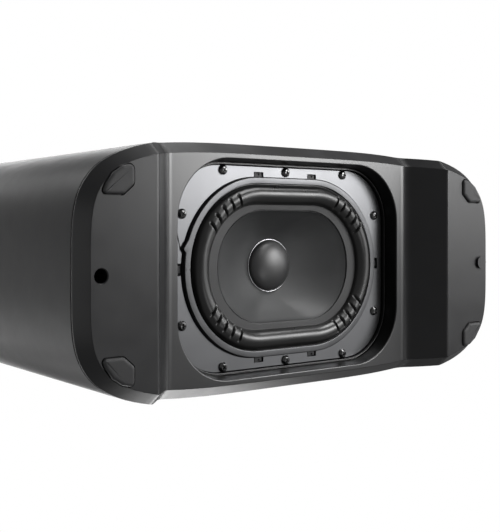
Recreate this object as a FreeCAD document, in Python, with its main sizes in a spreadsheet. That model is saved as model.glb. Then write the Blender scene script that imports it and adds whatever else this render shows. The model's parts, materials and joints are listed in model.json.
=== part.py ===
import FreeCAD, Part
import math
import os
import Sketcher

Vector = FreeCAD.Vector

# Frame: the tower stands on its four feet, +Z up, feet on z = 0, origin under
# its middle. X runs across the wide side, the front faces -Y and the amplifier
# panel is in the back, +Y. The driver faces down, into a channel in the base.
# All lengths are in millimetres.
DIMENSIONS = [
    ("tower_half_width", 203.0, "middle to the rounded end of the cabinet"),
    ("tower_half_depth", 94.0, "middle to the front face at its centre"),
    ("outline_power", 4.2, "squareness of the rounded cabinet outline"),
    ("tower_height", 410.0, "floor to the top face"),
    ("wall", 6.0, "cabinet wall"),
    ("foot_proud", 2.0, "how far a foot stands below its block"),
    ("block_edge", 144.0, "middle to the crease of a foot block"),
    ("channel_half", 122.0, "half width of the flat channel floor"),
    ("channel_depth", 28.0, "height of the channel under the base"),
    ("bevel_inset", 8.0, "width of the bevel round the underside"),
    ("bevel_rise", 9.5, "height of that bevel"),
    ("lip", 1.6, "upright lip above the bevel"),
    ("shadow_gap", 0.8, "gap between base or cap and cabinet"),
    ("fit_gap", 0.2, "side clearance of a plugged tongue"),
    ("tongue_wall", 4.0, "wall of the tongue inside the cabinet"),
    ("tongue_height", 34.0, "tongue height above the underside"),
    ("skin", 4.5, "moulded skin of the underside"),
    ("recess_half_x", 111.2, "driver recess, at the channel floor"),
    ("recess_half_y", 82.0, "driver recess, at the channel floor"),
    ("recess_corner", 46.0, "corner radius of the recess"),
    ("step_inset", 3.4, "step round the plate, in from the recess"),
    ("step_level", 42.0, "height of the step"),
    ("plate_level", 45.0, "lower face of the driver plate"),
    ("plate_thick", 3.0, "driver plate"),
    ("plate_gap", 0.4, "clearance round the driver plate"),
    ("rim_thick", 2.5, "mounting rim of the basket"),
    ("gasket_thick", 1.5, "driver gasket"),
    ("ledge_thick", 4.0, "ledge that the driver is clamped to"),
    ("flange_half_x", 97.0, "raised flange of the driver"),
    ("flange_half_y", 69.6, "raised flange of the driver"),
    ("flange_corner", 69.0, "corner radius of that flange"),
    ("ring_level", 42.5, "lower face of the trim ring"),
    ("ring_thick", 2.0, "trim ring"),
    ("roll_half_x", 91.5, "outer edge of the surround's roll"),
    ("roll_half_y", 64.5, "outer edge of the surround's roll"),
    ("roll_corner", 63.5, "corner radius of that edge"),
    ("roll_width", 16.0, "width of the half roll"),
    ("rubber", 0.8, "thickness of the surround"),
    ("seam_half_x", 66.5, "where the surround ends on the cone"),
    ("seam_half_y", 44.5, "where the surround ends on the cone"),
    ("seam_corner", 43.5, "corner radius of that seam"),
    ("cone_thick", 0.8, "pulp cone"),
    ("neck_level", 68.2, "front of the cone at its neck"),
    ("neck_radius", 19.4, "cone neck"),
    ("cap_radius", 21.6, "edge of the dust cap"),
    ("cap_level", 66.0, "edge plane of the dust cap"),
    ("cap_height", 8.0, "rise of the dust cap"),
    ("former_radius", 19.0, "inside of the coil former"),
    ("former_wall", 0.25, "coil former"),
    ("former_top", 110.0, "upper end of the coil former"),
    ("coil_thick", 0.9, "winding of the voice coil"),
    ("coil_low", 95.0, "lower end of the winding"),
    ("coil_length", 14.0, "length of the winding"),
    ("shelf_level", 84.0, "spider shelf of the basket"),
    ("shelf_radius", 60.0, "outer radius of the shelf"),
    ("spider_outer", 54.0, "outer radius of the spider"),
    ("spider_wave", 1.3, "height of a corrugation"),
    ("motor_level", 98.5, "lower face of the top plate"),
    ("motor_radius", 48.0, "top plate and back plate"),
    ("magnet_radius", 52.0, "ferrite ring"),
    ("magnet_hole", 26.0, "inside of the ferrite ring"),
    ("top_plate_thick", 7.0, "top plate"),
    ("magnet_thick", 18.0, "ferrite ring"),
    ("back_plate_thick", 6.0, "back plate"),
    ("pole_radius", 18.55, "pole piece"),
    ("plate_bore", 20.7, "bore of the top plate"),
    ("pilot_radius", 1.75, "pilot holes for the screws"),
    ("hole_radius", 1.9, "clearance holes for the screws"),
    ("boss_radius", 4.6, "screw bosses behind the plate"),
    ("screw_row_y", 74.5, "plate screws along the long sides"),
    ("screw_row_x", 61.4, "outer screws of those rows"),
    ("screw_end_x", 98.3, "plate screws at the ends"),
    ("screw_end_y", 41.0, "plate screws at the ends"),
    ("access_x", 187.2, "screw wells in the foot blocks"),
    ("access_radius", 4.7, "screw wells in the foot blocks"),
    ("panel_centre", 240.0, "height of the amplifier panel's middle"),
    ("panel_half_x", 62.0, "amplifier panel"),
    ("panel_half_z", 88.0, "amplifier panel"),
    ("panel_corner", 8.0, "amplifier panel"),
    ("panel_face", 91.5, "outer face of the amplifier panel"),
    ("panel_thick", 3.0, "amplifier panel"),
    ("panel_lap", 8.0, "how far the panel laps its opening"),
    ("board_level", 74.0, "outer face of the amplifier board"),
    ("board_thick", 1.6, "amplifier board"),
    ("board_wide", 92.0, "amplifier board"),
    ("board_high", 122.0, "amplifier board"),
    ("board_drop", 52.0, "panel middle down to the board's lower edge"),
    ("can_radius", 9.0, "smoothing capacitors"),
    ("can_length", 31.0, "smoothing capacitors"),
    ("button_radius", 4.0, "pairing button"),
    ("button_travel", 1.2, "travel of the pairing button"),
    ("pin_radius", 1.2, "contact pins of the mains inlet"),
    ("pin_pitch", 8.6, "distance between those pins"),
]

doc = FreeCAD.newDocument("subwoofer")
sheet = doc.addObject("Spreadsheet::Sheet", "sizes")
for row, (alias, value, note) in enumerate(DIMENSIONS, 1):
    sheet.set("A%d" % row, alias)
    sheet.set("B%d" % row, str(value))
    sheet.set("C%d" % row, note)
    sheet.setAlias("B%d" % row, alias)
doc.recompute()


def size(alias):
    return float(getattr(sheet, alias))


nodes = {}


# ---------------------------------------------------------------- helpers

def keep(obj, label):
    """Give an object its sub-part name and list it for export."""
    obj.Label = label
    nodes[label] = obj
    return obj


def bind(obj, formulas):
    """Tie properties of an object to cells of the sheet."""
    for name, formula in formulas.items():
        obj.setExpression(name, formula)
    return obj


def place(obj, x="0", y="0", z="0"):
    """Tie the position of an object to the sheet."""
    return bind(obj, {".Placement.Base.x": x, ".Placement.Base.y": y, ".Placement.Base.z": z})


def cylinder(name, radius, height, x="0", y="0", z="0", toward=(0, 0, 1)):
    obj = doc.addObject("Part::Cylinder", name)
    obj.Placement.Rotation = FreeCAD.Rotation(Vector(0, 0, 1), Vector(*toward))
    bind(obj, {"Radius": radius, "Height": height})
    return place(obj, x, y, z)


def box(name, length, width, height, x, y, z):
    """A box with its lowest corner at x, y, z."""
    obj = doc.addObject("Part::Box", name)
    bind(obj, {"Length": length, "Width": width, "Height": height})
    return place(obj, x, y, z)


def cut(name, base, *tools):
    for index, tool in enumerate(tools):
        step = doc.addObject("Part::Cut", "%s_cut%d" % (name, index))
        step.Base = base
        step.Tool = tool
        base = step
    return base


def fuse(name, parts):
    obj = doc.addObject("Part::MultiFuse", name)
    obj.Shapes = parts
    return obj


def feature(name, shape):
    """A shape that only Part's own functions can make."""
    obj = doc.addObject("Part::Feature", name)
    obj.Shape = shape
    return obj


def body(label):
    return keep(doc.addObject("PartDesign::Body", label), label)


def sketch(owner, name, role="XY_Plane", level=None):
    """A sketch on one of the body's own origin planes, raised to a level."""
    plane = next(f for f in owner.Origin.OriginFeatures if f.Role == role)
    obj = owner.newObject("Sketcher::SketchObject", name)
    obj.AttachmentSupport = [(plane, "")]
    obj.MapMode = "FlatFace"
    if level:
        obj.setExpression(".AttachmentOffset.Base.z", level)
    return obj


def pad(owner, profile, length, reverse=False):
    obj = owner.newObject("PartDesign::Pad", profile.Name + "_pad")
    obj.Profile = profile
    obj.Reversed = reverse
    obj.setExpression("Length", length)
    return obj


def pocket(owner, profile, length, reverse=False):
    obj = owner.newObject("PartDesign::Pocket", profile.Name + "_pocket")
    obj.Profile = profile
    obj.Reversed = reverse
    obj.setExpression("Length", length)
    return obj


def draw_circle(profile, radius, x=0.0, y=0.0):
    """A circle whose radius follows a formula and whose centre is fixed."""
    index = profile.addGeometry(Part.Circle(Vector(x, y, 0), Vector(0, 0, 1), 5.0), False)
    profile.addConstraint(constraint("DistanceX", -1, 1, index, 3, x))
    profile.addConstraint(constraint("DistanceY", -1, 1, index, 3, y))
    name = profile.addConstraint(constraint("Radius", index, 5.0))
    profile.setExpression("Constraints[%d]" % name, radius)
    return index


def draw_rounded(profile, half_x, half_y, corner):
    """A rounded rectangle about the sketch's origin, sizes given as aliases or formulas."""
    wide, high, turn = (evaluate(profile, text) for text in (half_x, half_y, corner))
    geometry = []
    quadrants = [(1, 1, 0.0), (-1, 1, 90.0), (-1, -1, 180.0), (1, -1, 270.0)]
    for sign_x, sign_y, start in quadrants:
        centre = Vector(sign_x * (wide - turn), sign_y * (high - turn), 0)
        circle = Part.Circle(centre, Vector(0, 0, 1), turn)
        first = math.radians(start)
        geometry.append(Part.ArcOfCircle(circle, first, first + math.pi / 2))
    for index in range(4):
        here = geometry[index].EndPoint
        there = geometry[(index + 1) % 4].StartPoint
        geometry.append(Part.LineSegment(here, there))
    first = profile.GeometryCount
    profile.addGeometry(geometry, False)
    rules = []
    for index in range(4):
        arc = first + index
        line = first + 4 + index
        following = first + (index + 1) % 4
        rules.append(constraint("Tangent", arc, 2, line, 1))
        rules.append(constraint("Tangent", line, 2, following, 1))
        rules.append(constraint("Horizontal" if index % 2 == 0 else "Vertical", line))
        if index:
            rules.append(constraint("Equal", first, arc))
    rules.append(constraint("Symmetric", first, 3, first + 2, 3, -1, 1))
    profile.addConstraint(rules)
    radius = profile.addConstraint(constraint("Radius", first, turn))
    across = profile.addConstraint(
        constraint("DistanceX", first + 2, 3, first, 3, 2 * (wide - turn)))
    along = profile.addConstraint(
        constraint("DistanceY", first + 2, 3, first, 3, 2 * (high - turn)))
    profile.setExpression("Constraints[%d]" % radius, corner)
    profile.setExpression("Constraints[%d]" % across, "2 * ((%s) - (%s))" % (half_x, corner))
    profile.setExpression("Constraints[%d]" % along, "2 * ((%s) - (%s))" % (half_y, corner))


def draw_polygon(profile, points):
    """A closed polygon through points worked out from the sheet."""
    corners = [Vector(x, y, 0) for x, y in points]
    first = profile.GeometryCount
    lines = [Part.LineSegment(a, b) for a, b in zip(corners, corners[1:] + corners[:1])]
    profile.addGeometry(lines, False)
    count = len(corners)
    for index in range(count):
        following = first + (index + 1) % count
        profile.addConstraint(constraint("Coincident", first + index, 2, following, 1))
    for index in range(count):
        profile.addConstraint(constraint("Block", first + index))


def constraint(*arguments):
    return Sketcher.Constraint(*arguments)


def evaluate(owner, formula):
    """The value of a formula that names cells of the sheet."""
    return float(owner.evalExpression(formula))


def rounded_wire(half_x, half_y, corner, level):
    """A rounded rectangle of four arcs and four lines, lying at a level."""
    edges = []
    ends = []
    for sign_x, sign_y, start in [(1, 1, 0), (-1, 1, 90), (-1, -1, 180), (1, -1, 270)]:
        centre = Vector(sign_x * (half_x - corner), sign_y * (half_y - corner), level)
        circle = Part.Circle(centre, Vector(0, 0, 1), corner)
        angle = math.radians(start)
        arc = Part.ArcOfCircle(circle, angle, angle + math.pi / 2)
        ends.append(arc)
    for index in range(4):
        edges.append(ends[index].toShape())
        following = ends[(index + 1) % 4]
        edges.append(Part.LineSegment(ends[index].EndPoint, following.StartPoint).toShape())
    return Part.Wire(edges)


def rounded_prism(half_x, half_y, corner, low, high):
    face = Part.Face(rounded_wire(half_x, half_y, corner, low))
    return face.extrude(Vector(0, 0, high - low))


def round_bar(radius, start, end):
    """A plain cylinder from one point to another."""
    axis = Vector(*end) - Vector(*start)
    return Part.makeCylinder(radius, axis.Length, Vector(*start), axis)


def block(low, high):
    """A plain box between two corners."""
    low = Vector(*low)
    span = Vector(*high) - low
    return Part.makeBox(span.x, span.y, span.z, low)


# ---------------------------------------------------------------- outline

half_width = size("tower_half_width")
half_depth = size("tower_half_depth")
power = size("outline_power")


def outline_point(turn, inset):
    """A point of the cabinet's outline, moved inwards by inset along its normal."""
    angle = math.atan2(half_depth * math.sin(turn), half_width * math.cos(turn))
    cosine = abs(math.cos(angle))
    sine = abs(math.sin(angle))
    reach = ((cosine / half_width) ** power + (sine / half_depth) ** power) ** (-1.0 / power)
    x = reach * cosine
    y = reach * sine
    slope_x = (x / half_width) ** (power - 1) / half_width
    slope_y = (y / half_depth) ** (power - 1) / half_depth
    steep = math.hypot(slope_x, slope_y)
    return x - inset * slope_x / steep, y - inset * slope_y / steep


def outline_wire(inset, level):
    """The cabinet's outline at a level: four smooth quarters."""
    steps = 14
    quarter = [outline_point(math.pi / 2 * i / steps, inset) for i in range(steps + 1)]
    quarter[0] = (quarter[0][0], 0.0)
    quarter[-1] = (0.0, quarter[-1][1])
    edges = []
    for sign_x, sign_y in [(1, 1), (-1, 1), (-1, -1), (1, -1)]:
        points = [Vector(sign_x * x, sign_y * y, level) for x, y in quarter]
        start = Vector(0, sign_y, 0)
        finish = Vector(-sign_x, 0, 0)
        if sign_x * sign_y < 0:
            points.reverse()
            start, finish = -finish, -start
        curve = Part.BSplineCurve()
        curve.interpolate(Points=points, InitialTangent=start, FinalTangent=finish)
        edges.append(curve.toShape())
    return Part.Wire(edges)


def outline_prism(inset, low, high):
    return Part.Face(outline_wire(inset, low)).extrude(Vector(0, 0, high - low))


def outline_half_depth(inset, x):
    """Half the depth of the outline at a distance x from its middle."""
    line = Part.makeLine(Vector(x, 0, 0), Vector(x, 2 * half_depth, 0))
    distance, pairs, details = line.distToShape(outline_wire(inset, 0))
    return pairs[0][0].y


# The underside runs flat under each foot block, up the two sloped walls and
# flat again across the roof of the channel.
block_edge = size("block_edge")
channel_half = size("channel_half")
face_level = size("foot_proud")
floor_level = face_level + size("channel_depth")
FAR = 400.0


def above_underside(lift, high):
    """Everything between the underside, raised by lift, and a level high."""
    corners = [(-FAR, face_level), (-block_edge, face_level), (-channel_half, floor_level),
               (channel_half, floor_level), (block_edge, face_level), (FAR, face_level)]
    points = [Vector(x, -FAR, z + lift) for x, z in corners]
    points += [Vector(FAR, -FAR, high), Vector(-FAR, -FAR, high), points[0]]
    return Part.Face(Part.makePolygon(points)).extrude(Vector(0, 2 * FAR, 0))


def follow_underside(low, high):
    """A slab between the underside raised by low and by high."""
    tall = floor_level + high + FAR
    return above_underside(low, tall).cut(above_underside(high, tall + 1))


# ---------------------------------------------------------------- base

bevel_inset = size("bevel_inset")
bevel_rise = size("bevel_rise")
rim_height = bevel_rise + size("lip")


def bevelled_rim():
    """The outer band of the base: bevel and lip, following the underside."""
    sections = [outline_wire(bevel_inset, 0), outline_wire(0, bevel_rise), outline_wire(0, rim_height)]
    flat = Part.makeLoft(sections, True, True)
    blocks = flat.cut(block((-block_edge, -FAR, -1), (block_edge, FAR, FAR)))
    blocks.translate(Vector(0, 0, face_level))
    roof = flat.common(block((-channel_half, -FAR, -1), (channel_half, FAR, FAR)))
    roof.translate(Vector(0, 0, floor_level))
    pieces = [roof] + blocks.Solids
    for side in (-1, 1):
        ends = []
        for x, lift in ((side * channel_half, floor_level), (side * block_edge, face_level)):
            inner = outline_half_depth(bevel_inset, abs(x))
            outer = outline_half_depth(0, abs(x))
            half = [(inner, 0), (outer, bevel_rise), (outer, rim_height)]
            points = [Vector(x, y, lift + z) for y, z in half]
            points += [Vector(x, -y, lift + z) for y, z in reversed(half)]
            ends.append(Part.makePolygon(points + points[:1]))
        pieces.append(Part.makeLoft(ends, True, True))
    return pieces[0].fuse(pieces[1:])


def foot_corners():
    return [(sx, sy) for sx in (-1, 1) for sy in (-1, 1)]


FOOT_NAMES = {(-1, -1): "foot_front_left", (1, -1): "foot_front_right",
              (-1, 1): "foot_rear_left", (1, 1): "foot_rear_right"}
FOOT_SCREW = (174.0, 62.0)
FOOT_TOP = 4.4


def make_foot(sign_x, sign_y):
    """A rubber foot: three straight sides and one that follows the outline."""
    foot = body(FOOT_NAMES[(sign_x, sign_y)])
    profile = sketch(foot, "foot_profile")
    corners = [(163.4, 72.8), (163.4, 59.4), (171.4, 52.5), (186.8, 52.5)]
    points = [Vector(sign_x * x, sign_y * y, 0) for x, y in corners]
    middle = Vector(sign_x * 179.3, sign_y * 66.2, 0)
    geometry = [Part.LineSegment(a, b) for a, b in zip(points, points[1:])]
    geometry.append(Part.Arc(points[3], middle, points[0]))
    profile.addGeometry(geometry, False)
    for index in range(4):
        profile.addConstraint(constraint("Block", index))
    solid = pad(foot, profile, "%s" % FOOT_TOP)
    doc.recompute()
    upright = ["Edge%d" % (i + 1) for i, e in enumerate(solid.Shape.Edges)
               if abs(e.Vertexes[0].Z - e.Vertexes[-1].Z) > 1]
    rounded = foot.newObject("PartDesign::Fillet", "foot_corners")
    rounded.Base = (solid, upright)
    rounded.Radius = 3.6
    doc.recompute()
    low = ["Edge%d" % (i + 1) for i, e in enumerate(rounded.Shape.Edges)
           if e.BoundBox.ZMax < 0.01]
    soft = foot.newObject("PartDesign::Fillet", "foot_edge")
    soft.Base = (rounded, low)
    soft.Radius = 0.8
    doc.recompute()
    return foot


feet = {corner: make_foot(*corner) for corner in foot_corners()}

# Oblongs inside the driver: half width, half depth and corner radius.
LEDGE_OPENING = (96.0, 68.0, 67.0)
RIM = (107.0, 78.0, 42.0)
BOWL = (95.0, 67.0, 66.0)
BOWL_WALL = 2.5

fit_gap = size("fit_gap")
tongue_inset = size("wall") + fit_gap
cavity_inset = tongue_inset + size("tongue_wall")
step_level = size("step_level")
plate_level = size("plate_level")
rim_level = plate_level + size("plate_thick")
gasket_level = rim_level + size("rim_thick")
ledge_level = gasket_level + size("gasket_thick")
ledge_top = ledge_level + size("ledge_thick")
recess = (size("recess_half_x"), size("recess_half_y"), size("recess_corner"))
step_inset = size("step_inset")
well_top = face_level + 31.0
boss_top = face_level + size("tongue_height")

plate_screw_places = []
for x, y in ((0.0, size("screw_row_y")), (size("screw_row_x"), size("screw_row_y")),
             (size("screw_end_x"), size("screw_end_y"))):
    for sign_x in ((1, -1) if x else (1,)):
        plate_screw_places += [(sign_x * x, y), (sign_x * x, -y)]

base_screw_places = [(sx * size("access_x"), 0.0, size("access_radius")) for sx in (-1, 1)]
base_screw_places += [(sx * FOOT_SCREW[0], sy * FOOT_SCREW[1], 4.4) for sx, sy in foot_corners()]


def inset_rounded(shape, inset, low, high):
    """The recess shape moved inwards by inset, between two levels."""
    half_x, half_y, corner = shape
    return rounded_prism(half_x - inset, half_y - inset, corner - inset, low, high)


pilot = size("pilot_radius")
clearance = size("hole_radius")


def make_base():
    """The moulded underside: rim, skin, tongue, driver housing, bosses, wells and foot seats."""
    tall = floor_level + size("tongue_height")
    shell = bevelled_rim()
    tongue = outline_prism(tongue_inset, 0, tall)
    tongue = tongue.common(follow_underside(bevel_rise / 2, size("tongue_height")))
    cavity = outline_prism(cavity_inset, 0, tall + 1).common(above_underside(size("skin"), tall + 1))
    shell = shell.fuse(tongue).cut(cavity)
    housing = inset_rounded(recess, -3.6, floor_level + 1, ledge_top)
    adds = [housing.common(outline_prism(tongue_inset + 0.5, 0, tall))]
    adds += [round_bar(size("boss_radius"), (x, y, ledge_top - 1), (x, y, tall))
             for x, y in plate_screw_places]
    inside = outline_prism(tongue_inset + 0.5, 0, tall)
    for x, y, radius in base_screw_places:
        adds.append(round_bar(radius + 3.0, (x, y, face_level + 1), (x, y, boss_top)).common(inside))
    shell = shell.fuse(adds)
    mouth = Part.makeLoft([rounded_wire(*recess, floor_level - 1),
                           rounded_wire(*(value - 2.0 for value in recess), step_level)], True, True)
    cuts = [mouth, inset_rounded(recess, step_inset, step_level - 1, ledge_level)]
    cuts.append(rounded_prism(*LEDGE_OPENING, step_level, ledge_top + 1))
    cuts += [round_bar(pilot, (x, y, ledge_level - 1), (x, y, tall - 2)) for x, y in plate_screw_places]
    for x, y, radius in base_screw_places:
        cuts.append(round_bar(radius, (x, y, -1), (x, y, well_top)))
        cuts.append(round_bar(clearance, (x, y, well_top - 1), (x, y, boss_top + 1)))
    for foot in feet.values():
        wire = foot.Shape.slice(Vector(0, 0, 1), face_level)[0]
        seat = wire.makeOffset2D(0.6)
        seat.translate(Vector(0, 0, -face_level))
        cuts.append(Part.Face(seat).extrude(Vector(0, 0, FOOT_TOP)))
    return shell.cut(cuts).removeSplitter()


keep(feature("base_shape", make_base()), "base")


# ---------------------------------------------------------------- cabinet

shell_gap = rim_height + size("shadow_gap")
cap_level = size("tower_height") - rim_height
shell_top = cap_level - size("shadow_gap")
panel_centre = size("panel_centre")
panel_half = (size("panel_half_x"), size("panel_half_z"), size("panel_corner"))
panel_face = size("panel_face")
panel_back = panel_face - size("panel_thick")
seat_level = panel_back - 1.0
FRAME_DEPTH = 9.0
boss_low = boss_top + 0.5
boss_high = boss_low + 20.0


def upright_prism(half_x, half_z, corner, low, high):
    """A rounded rectangle in the back of the cabinet, between two depths."""
    prism = rounded_prism(half_x, half_z, corner, -high, -low)
    prism.rotate(Vector(0, 0, 0), Vector(1, 0, 0), 90)
    prism.translate(Vector(0, 0, panel_centre))
    return prism


def panel_opening(extra, low, high):
    """The opening behind the amplifier panel, widened by extra."""
    lap = size("panel_lap") - extra
    half_x, half_z, corner = panel_half
    return upright_prism(half_x - lap, half_z - lap, 4.0, low, high)


SCREW_MARGIN = 5.0
panel_screw_places = [(sx * (panel_half[0] - SCREW_MARGIN),
                       panel_centre + share * (panel_half[1] - SCREW_MARGIN))
                      for sx in (-1, 1) for share in (-1, -1 / 3, 1 / 3, 1)]


def make_shell():
    """The tower's wall: open above and below, with the amplifier's seat and four bosses."""
    wall = size("wall")
    solid = outline_prism(0, 0, shell_top).common(above_underside(shell_gap, shell_top))
    inner = outline_prism(wall, 0, shell_top + 1)
    shell = solid.cut(inner)
    within = outline_prism(wall / 2, 0, shell_top)
    frame = upright_prism(panel_half[0] + 6, panel_half[1] + 6, 10.0, seat_level - FRAME_DEPTH, FAR / 4)
    adds = [frame.common(within)]
    for x, y, radius in base_screw_places:
        half = 9.0
        outward = 26.0
        far_x = x + math.copysign(outward, x)
        far_y = y + math.copysign(outward, y) if y else y
        low = (min(x - half, far_x), min(y - half, far_y), boss_low)
        high = (max(x + half, far_x), max(y + half, far_y), boss_high)
        adds.append(block(low, high).common(within))
    shell = shell.fuse(adds)
    half_x, half_z, corner = panel_half
    cuts = [upright_prism(half_x + 0.4, half_z + 0.4, corner, seat_level, FAR / 4),
            panel_opening(0, seat_level - FRAME_DEPTH - 1, FAR / 4)]
    cuts += [round_bar(pilot, (x, seat_level - FRAME_DEPTH - 1, z), (x, panel_face, z))
             for x, z in panel_screw_places]
    cuts += [round_bar(pilot, (x, y, boss_low - 1), (x, y, boss_high - 3))
             for x, y, radius in base_screw_places]
    return shell.cut(cuts).removeSplitter()


keep(feature("shell_shape", make_shell()), "cabinet_shell")


def make_cap():
    """The closed top with its bevel and its tongue."""
    top = size("tower_height")
    sections = [outline_wire(0, cap_level), outline_wire(0, top - bevel_rise),
                outline_wire(bevel_inset, top)]
    cap = Part.makeLoft(sections, True, True)
    tongue = outline_prism(tongue_inset, shell_top - 12.0, cap_level + 1)
    hollow = outline_prism(cavity_inset, shell_top - 13.0, top - size("skin"))
    return cap.fuse(tongue).cut(hollow).removeSplitter()


keep(feature("cap_shape", make_cap()), "top_cap")


# ---------------------------------------------------------------- fasteners

def pan_screw(head_radius, head_height, shank_radius, length):
    """A cross-recess screw: head below z = 0, shank up along +Z."""
    profile = [Vector(0, 0, -head_height), Vector(head_radius * 0.55, 0, -head_height * 0.93),
               Vector(head_radius * 0.9, 0, -head_height * 0.6), Vector(head_radius, 0, 0),
               Vector(shank_radius, 0, 0), Vector(shank_radius, 0, length - shank_radius),
               Vector(0, 0, length), Vector(0, 0, -head_height)]
    screw = Part.Face(Part.makePolygon(profile)).revolve(Vector(0, 0, 0), Vector(0, 0, 1), 360)
    arm = head_radius * 0.55
    slot = head_radius * 0.13
    deep = head_height * 0.55
    cross = block((-arm, -slot, -head_height - 1), (arm, slot, -head_height + deep))
    cross = cross.fuse(block((-slot, -arm, -head_height - 1), (slot, arm, -head_height + deep)))
    return screw.cut(cross)


def screw_group(label, master, places, turn=None):
    """Copies of one screw, kept together as one sub-part."""
    copies = []
    for x, y, z in places:
        copy = master.copy()
        if turn:
            copy.rotate(Vector(0, 0, 0), Vector(*turn[0]), turn[1])
        copy.translate(Vector(x, y, z))
        copies.append(copy)
    return keep(feature(label + "_group", Part.makeCompound(copies)), label)


# Head radius, head height, shank radius and shank length.
PLATE_SCREW = (3.8, 2.2, 1.7, 14.0)
BASE_SCREW = (3.9, 2.4, 1.7, 18.0)
PANEL_SCREW = (3.2, 1.9, 1.65, 11.0)
screw_group("plate_screws", pan_screw(*PLATE_SCREW),
            [(x, y, plate_level) for x, y in plate_screw_places])
screw_group("base_screws", pan_screw(*BASE_SCREW),
            [(x, y, well_top) for x, y, radius in base_screw_places])
screw_group("panel_screws", pan_screw(*PANEL_SCREW),
            [(x, panel_face, z) for x, z in panel_screw_places], ((1, 0, 0), 90))


# ---------------------------------------------------------------- driver mounting

plate = body("driver_plate")
outer = sketch(plate, "plate_outline", level="sizes.plate_level")
inset_formula = "sizes.step_inset + sizes.plate_gap"
draw_rounded(outer, "sizes.recess_half_x - (%s)" % inset_formula,
             "sizes.recess_half_y - (%s)" % inset_formula, "sizes.recess_corner - (%s)" % inset_formula)
draw_rounded(outer, "sizes.flange_half_x + 2.0", "sizes.flange_half_y + 0.6", "sizes.flange_corner + 0.7")
pad(plate, outer, "sizes.plate_thick")
holes = sketch(plate, "plate_holes", level="sizes.plate_level")
for x, y in plate_screw_places:
    draw_circle(holes, "sizes.hole_radius", x, y)
pocket(plate, holes, "sizes.plate_thick", reverse=True)
notches = sketch(plate, "plate_notches", level="sizes.plate_level")
notch_edge = size("flange_half_y") - 2.0
for x in (-27.0, 27.6):
    for side in (-1, 1):
        low, high = sorted((side * notch_edge, side * (notch_edge + 6.4)))
        draw_polygon(notches, [(x - 4.7, low), (x + 4.7, low), (x + 4.7, high), (x - 4.7, high)])
for side in (-1, 1):
    low, high = sorted((side * 95.0, side * 102.6))
    draw_polygon(notches, [(low, -4.6), (high, -4.6), (high, 4.6), (low, 4.6)])
pocket(plate, notches, "sizes.plate_thick", reverse=True)

gasket = body("driver_gasket")
seal = sketch(gasket, "gasket_outline", level="sizes.plate_level + sizes.plate_thick + sizes.rim_thick")
draw_rounded(seal, *("%s - 0.4" % value for value in RIM))
draw_rounded(seal, *("%s + 1" % value for value in LEDGE_OPENING))
for x, y in plate_screw_places:
    draw_circle(seal, "sizes.hole_radius", x, y)
pad(gasket, seal, "sizes.gasket_thick")

ring = body("trim_ring")
ring_profile = sketch(ring, "ring_outline", level="sizes.ring_level")
draw_rounded(ring_profile, "sizes.flange_half_x", "sizes.flange_half_y", "sizes.flange_corner")
draw_rounded(ring_profile, "sizes.roll_half_x + 0.4", "sizes.roll_half_y + 0.4", "sizes.roll_corner + 0.4")
pad(ring, ring_profile, "sizes.ring_thick")

lip_level = size("ring_level") + size("ring_thick")
landing_level = lip_level + size("rubber")
shelf_level = size("shelf_level")
shelf_radius = size("shelf_radius")
motor_level = size("motor_level")
CUP_RADIUS = 45.0


def make_basket():
    """The pressed frame: rim, flange, windowed bowl, spider shelf and motor cup."""
    flange = (size("flange_half_x"), size("flange_half_y"), size("flange_corner"))
    frame = rounded_prism(*RIM, rim_level, gasket_level)
    frame = frame.fuse(rounded_prism(*flange, landing_level, rim_level))
    round_end = (shelf_radius + 0.5, shelf_radius + 0.5, shelf_radius)
    outer_bowl = Part.makeLoft([rounded_wire(*BOWL, gasket_level),
                                rounded_wire(*round_end, shelf_level + BOWL_WALL)], True, True)
    inner_end = tuple(value - BOWL_WALL for value in round_end)
    inside = tuple(value - BOWL_WALL for value in BOWL)
    inner_bowl = Part.makeLoft([rounded_wire(*inside, gasket_level),
                                rounded_wire(*inner_end, shelf_level)], True, True)
    throat = rounded_prism(*inside, landing_level - 1, gasket_level)
    windows = []
    for index in range(6):
        window = block((-15.0, 40.0, gasket_level + 6.0), (15.0, 140.0, shelf_level - 5.0))
        window.rotate(Vector(0, 0, 0), Vector(0, 0, 1), 30 + 60 * index)
        windows.append(window)
    cup = round_bar(CUP_RADIUS, (0, 0, shelf_level), (0, 0, motor_level))
    hollow = round_bar(CUP_RADIUS - BOWL_WALL, (0, 0, shelf_level - 1), (0, 0, motor_level - BOWL_WALL))
    bore = round_bar(26.0, (0, 0, shelf_level - 1), (0, 0, motor_level + 1))
    frame = frame.fuse([outer_bowl, cup]).cut([throat, inner_bowl, hollow, bore] + windows)
    holes = [round_bar(clearance, (x, y, rim_level - 1), (x, y, gasket_level + 1))
             for x, y in plate_screw_places]
    return frame.cut(holes).removeSplitter()


keep(feature("basket_shape", make_basket()), "basket")


# ---------------------------------------------------------------- moving parts of the driver

roll = (size("roll_half_x"), size("roll_half_y"), size("roll_corner"))
seam = (size("seam_half_x"), size("seam_half_y"), size("seam_corner"))


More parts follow.
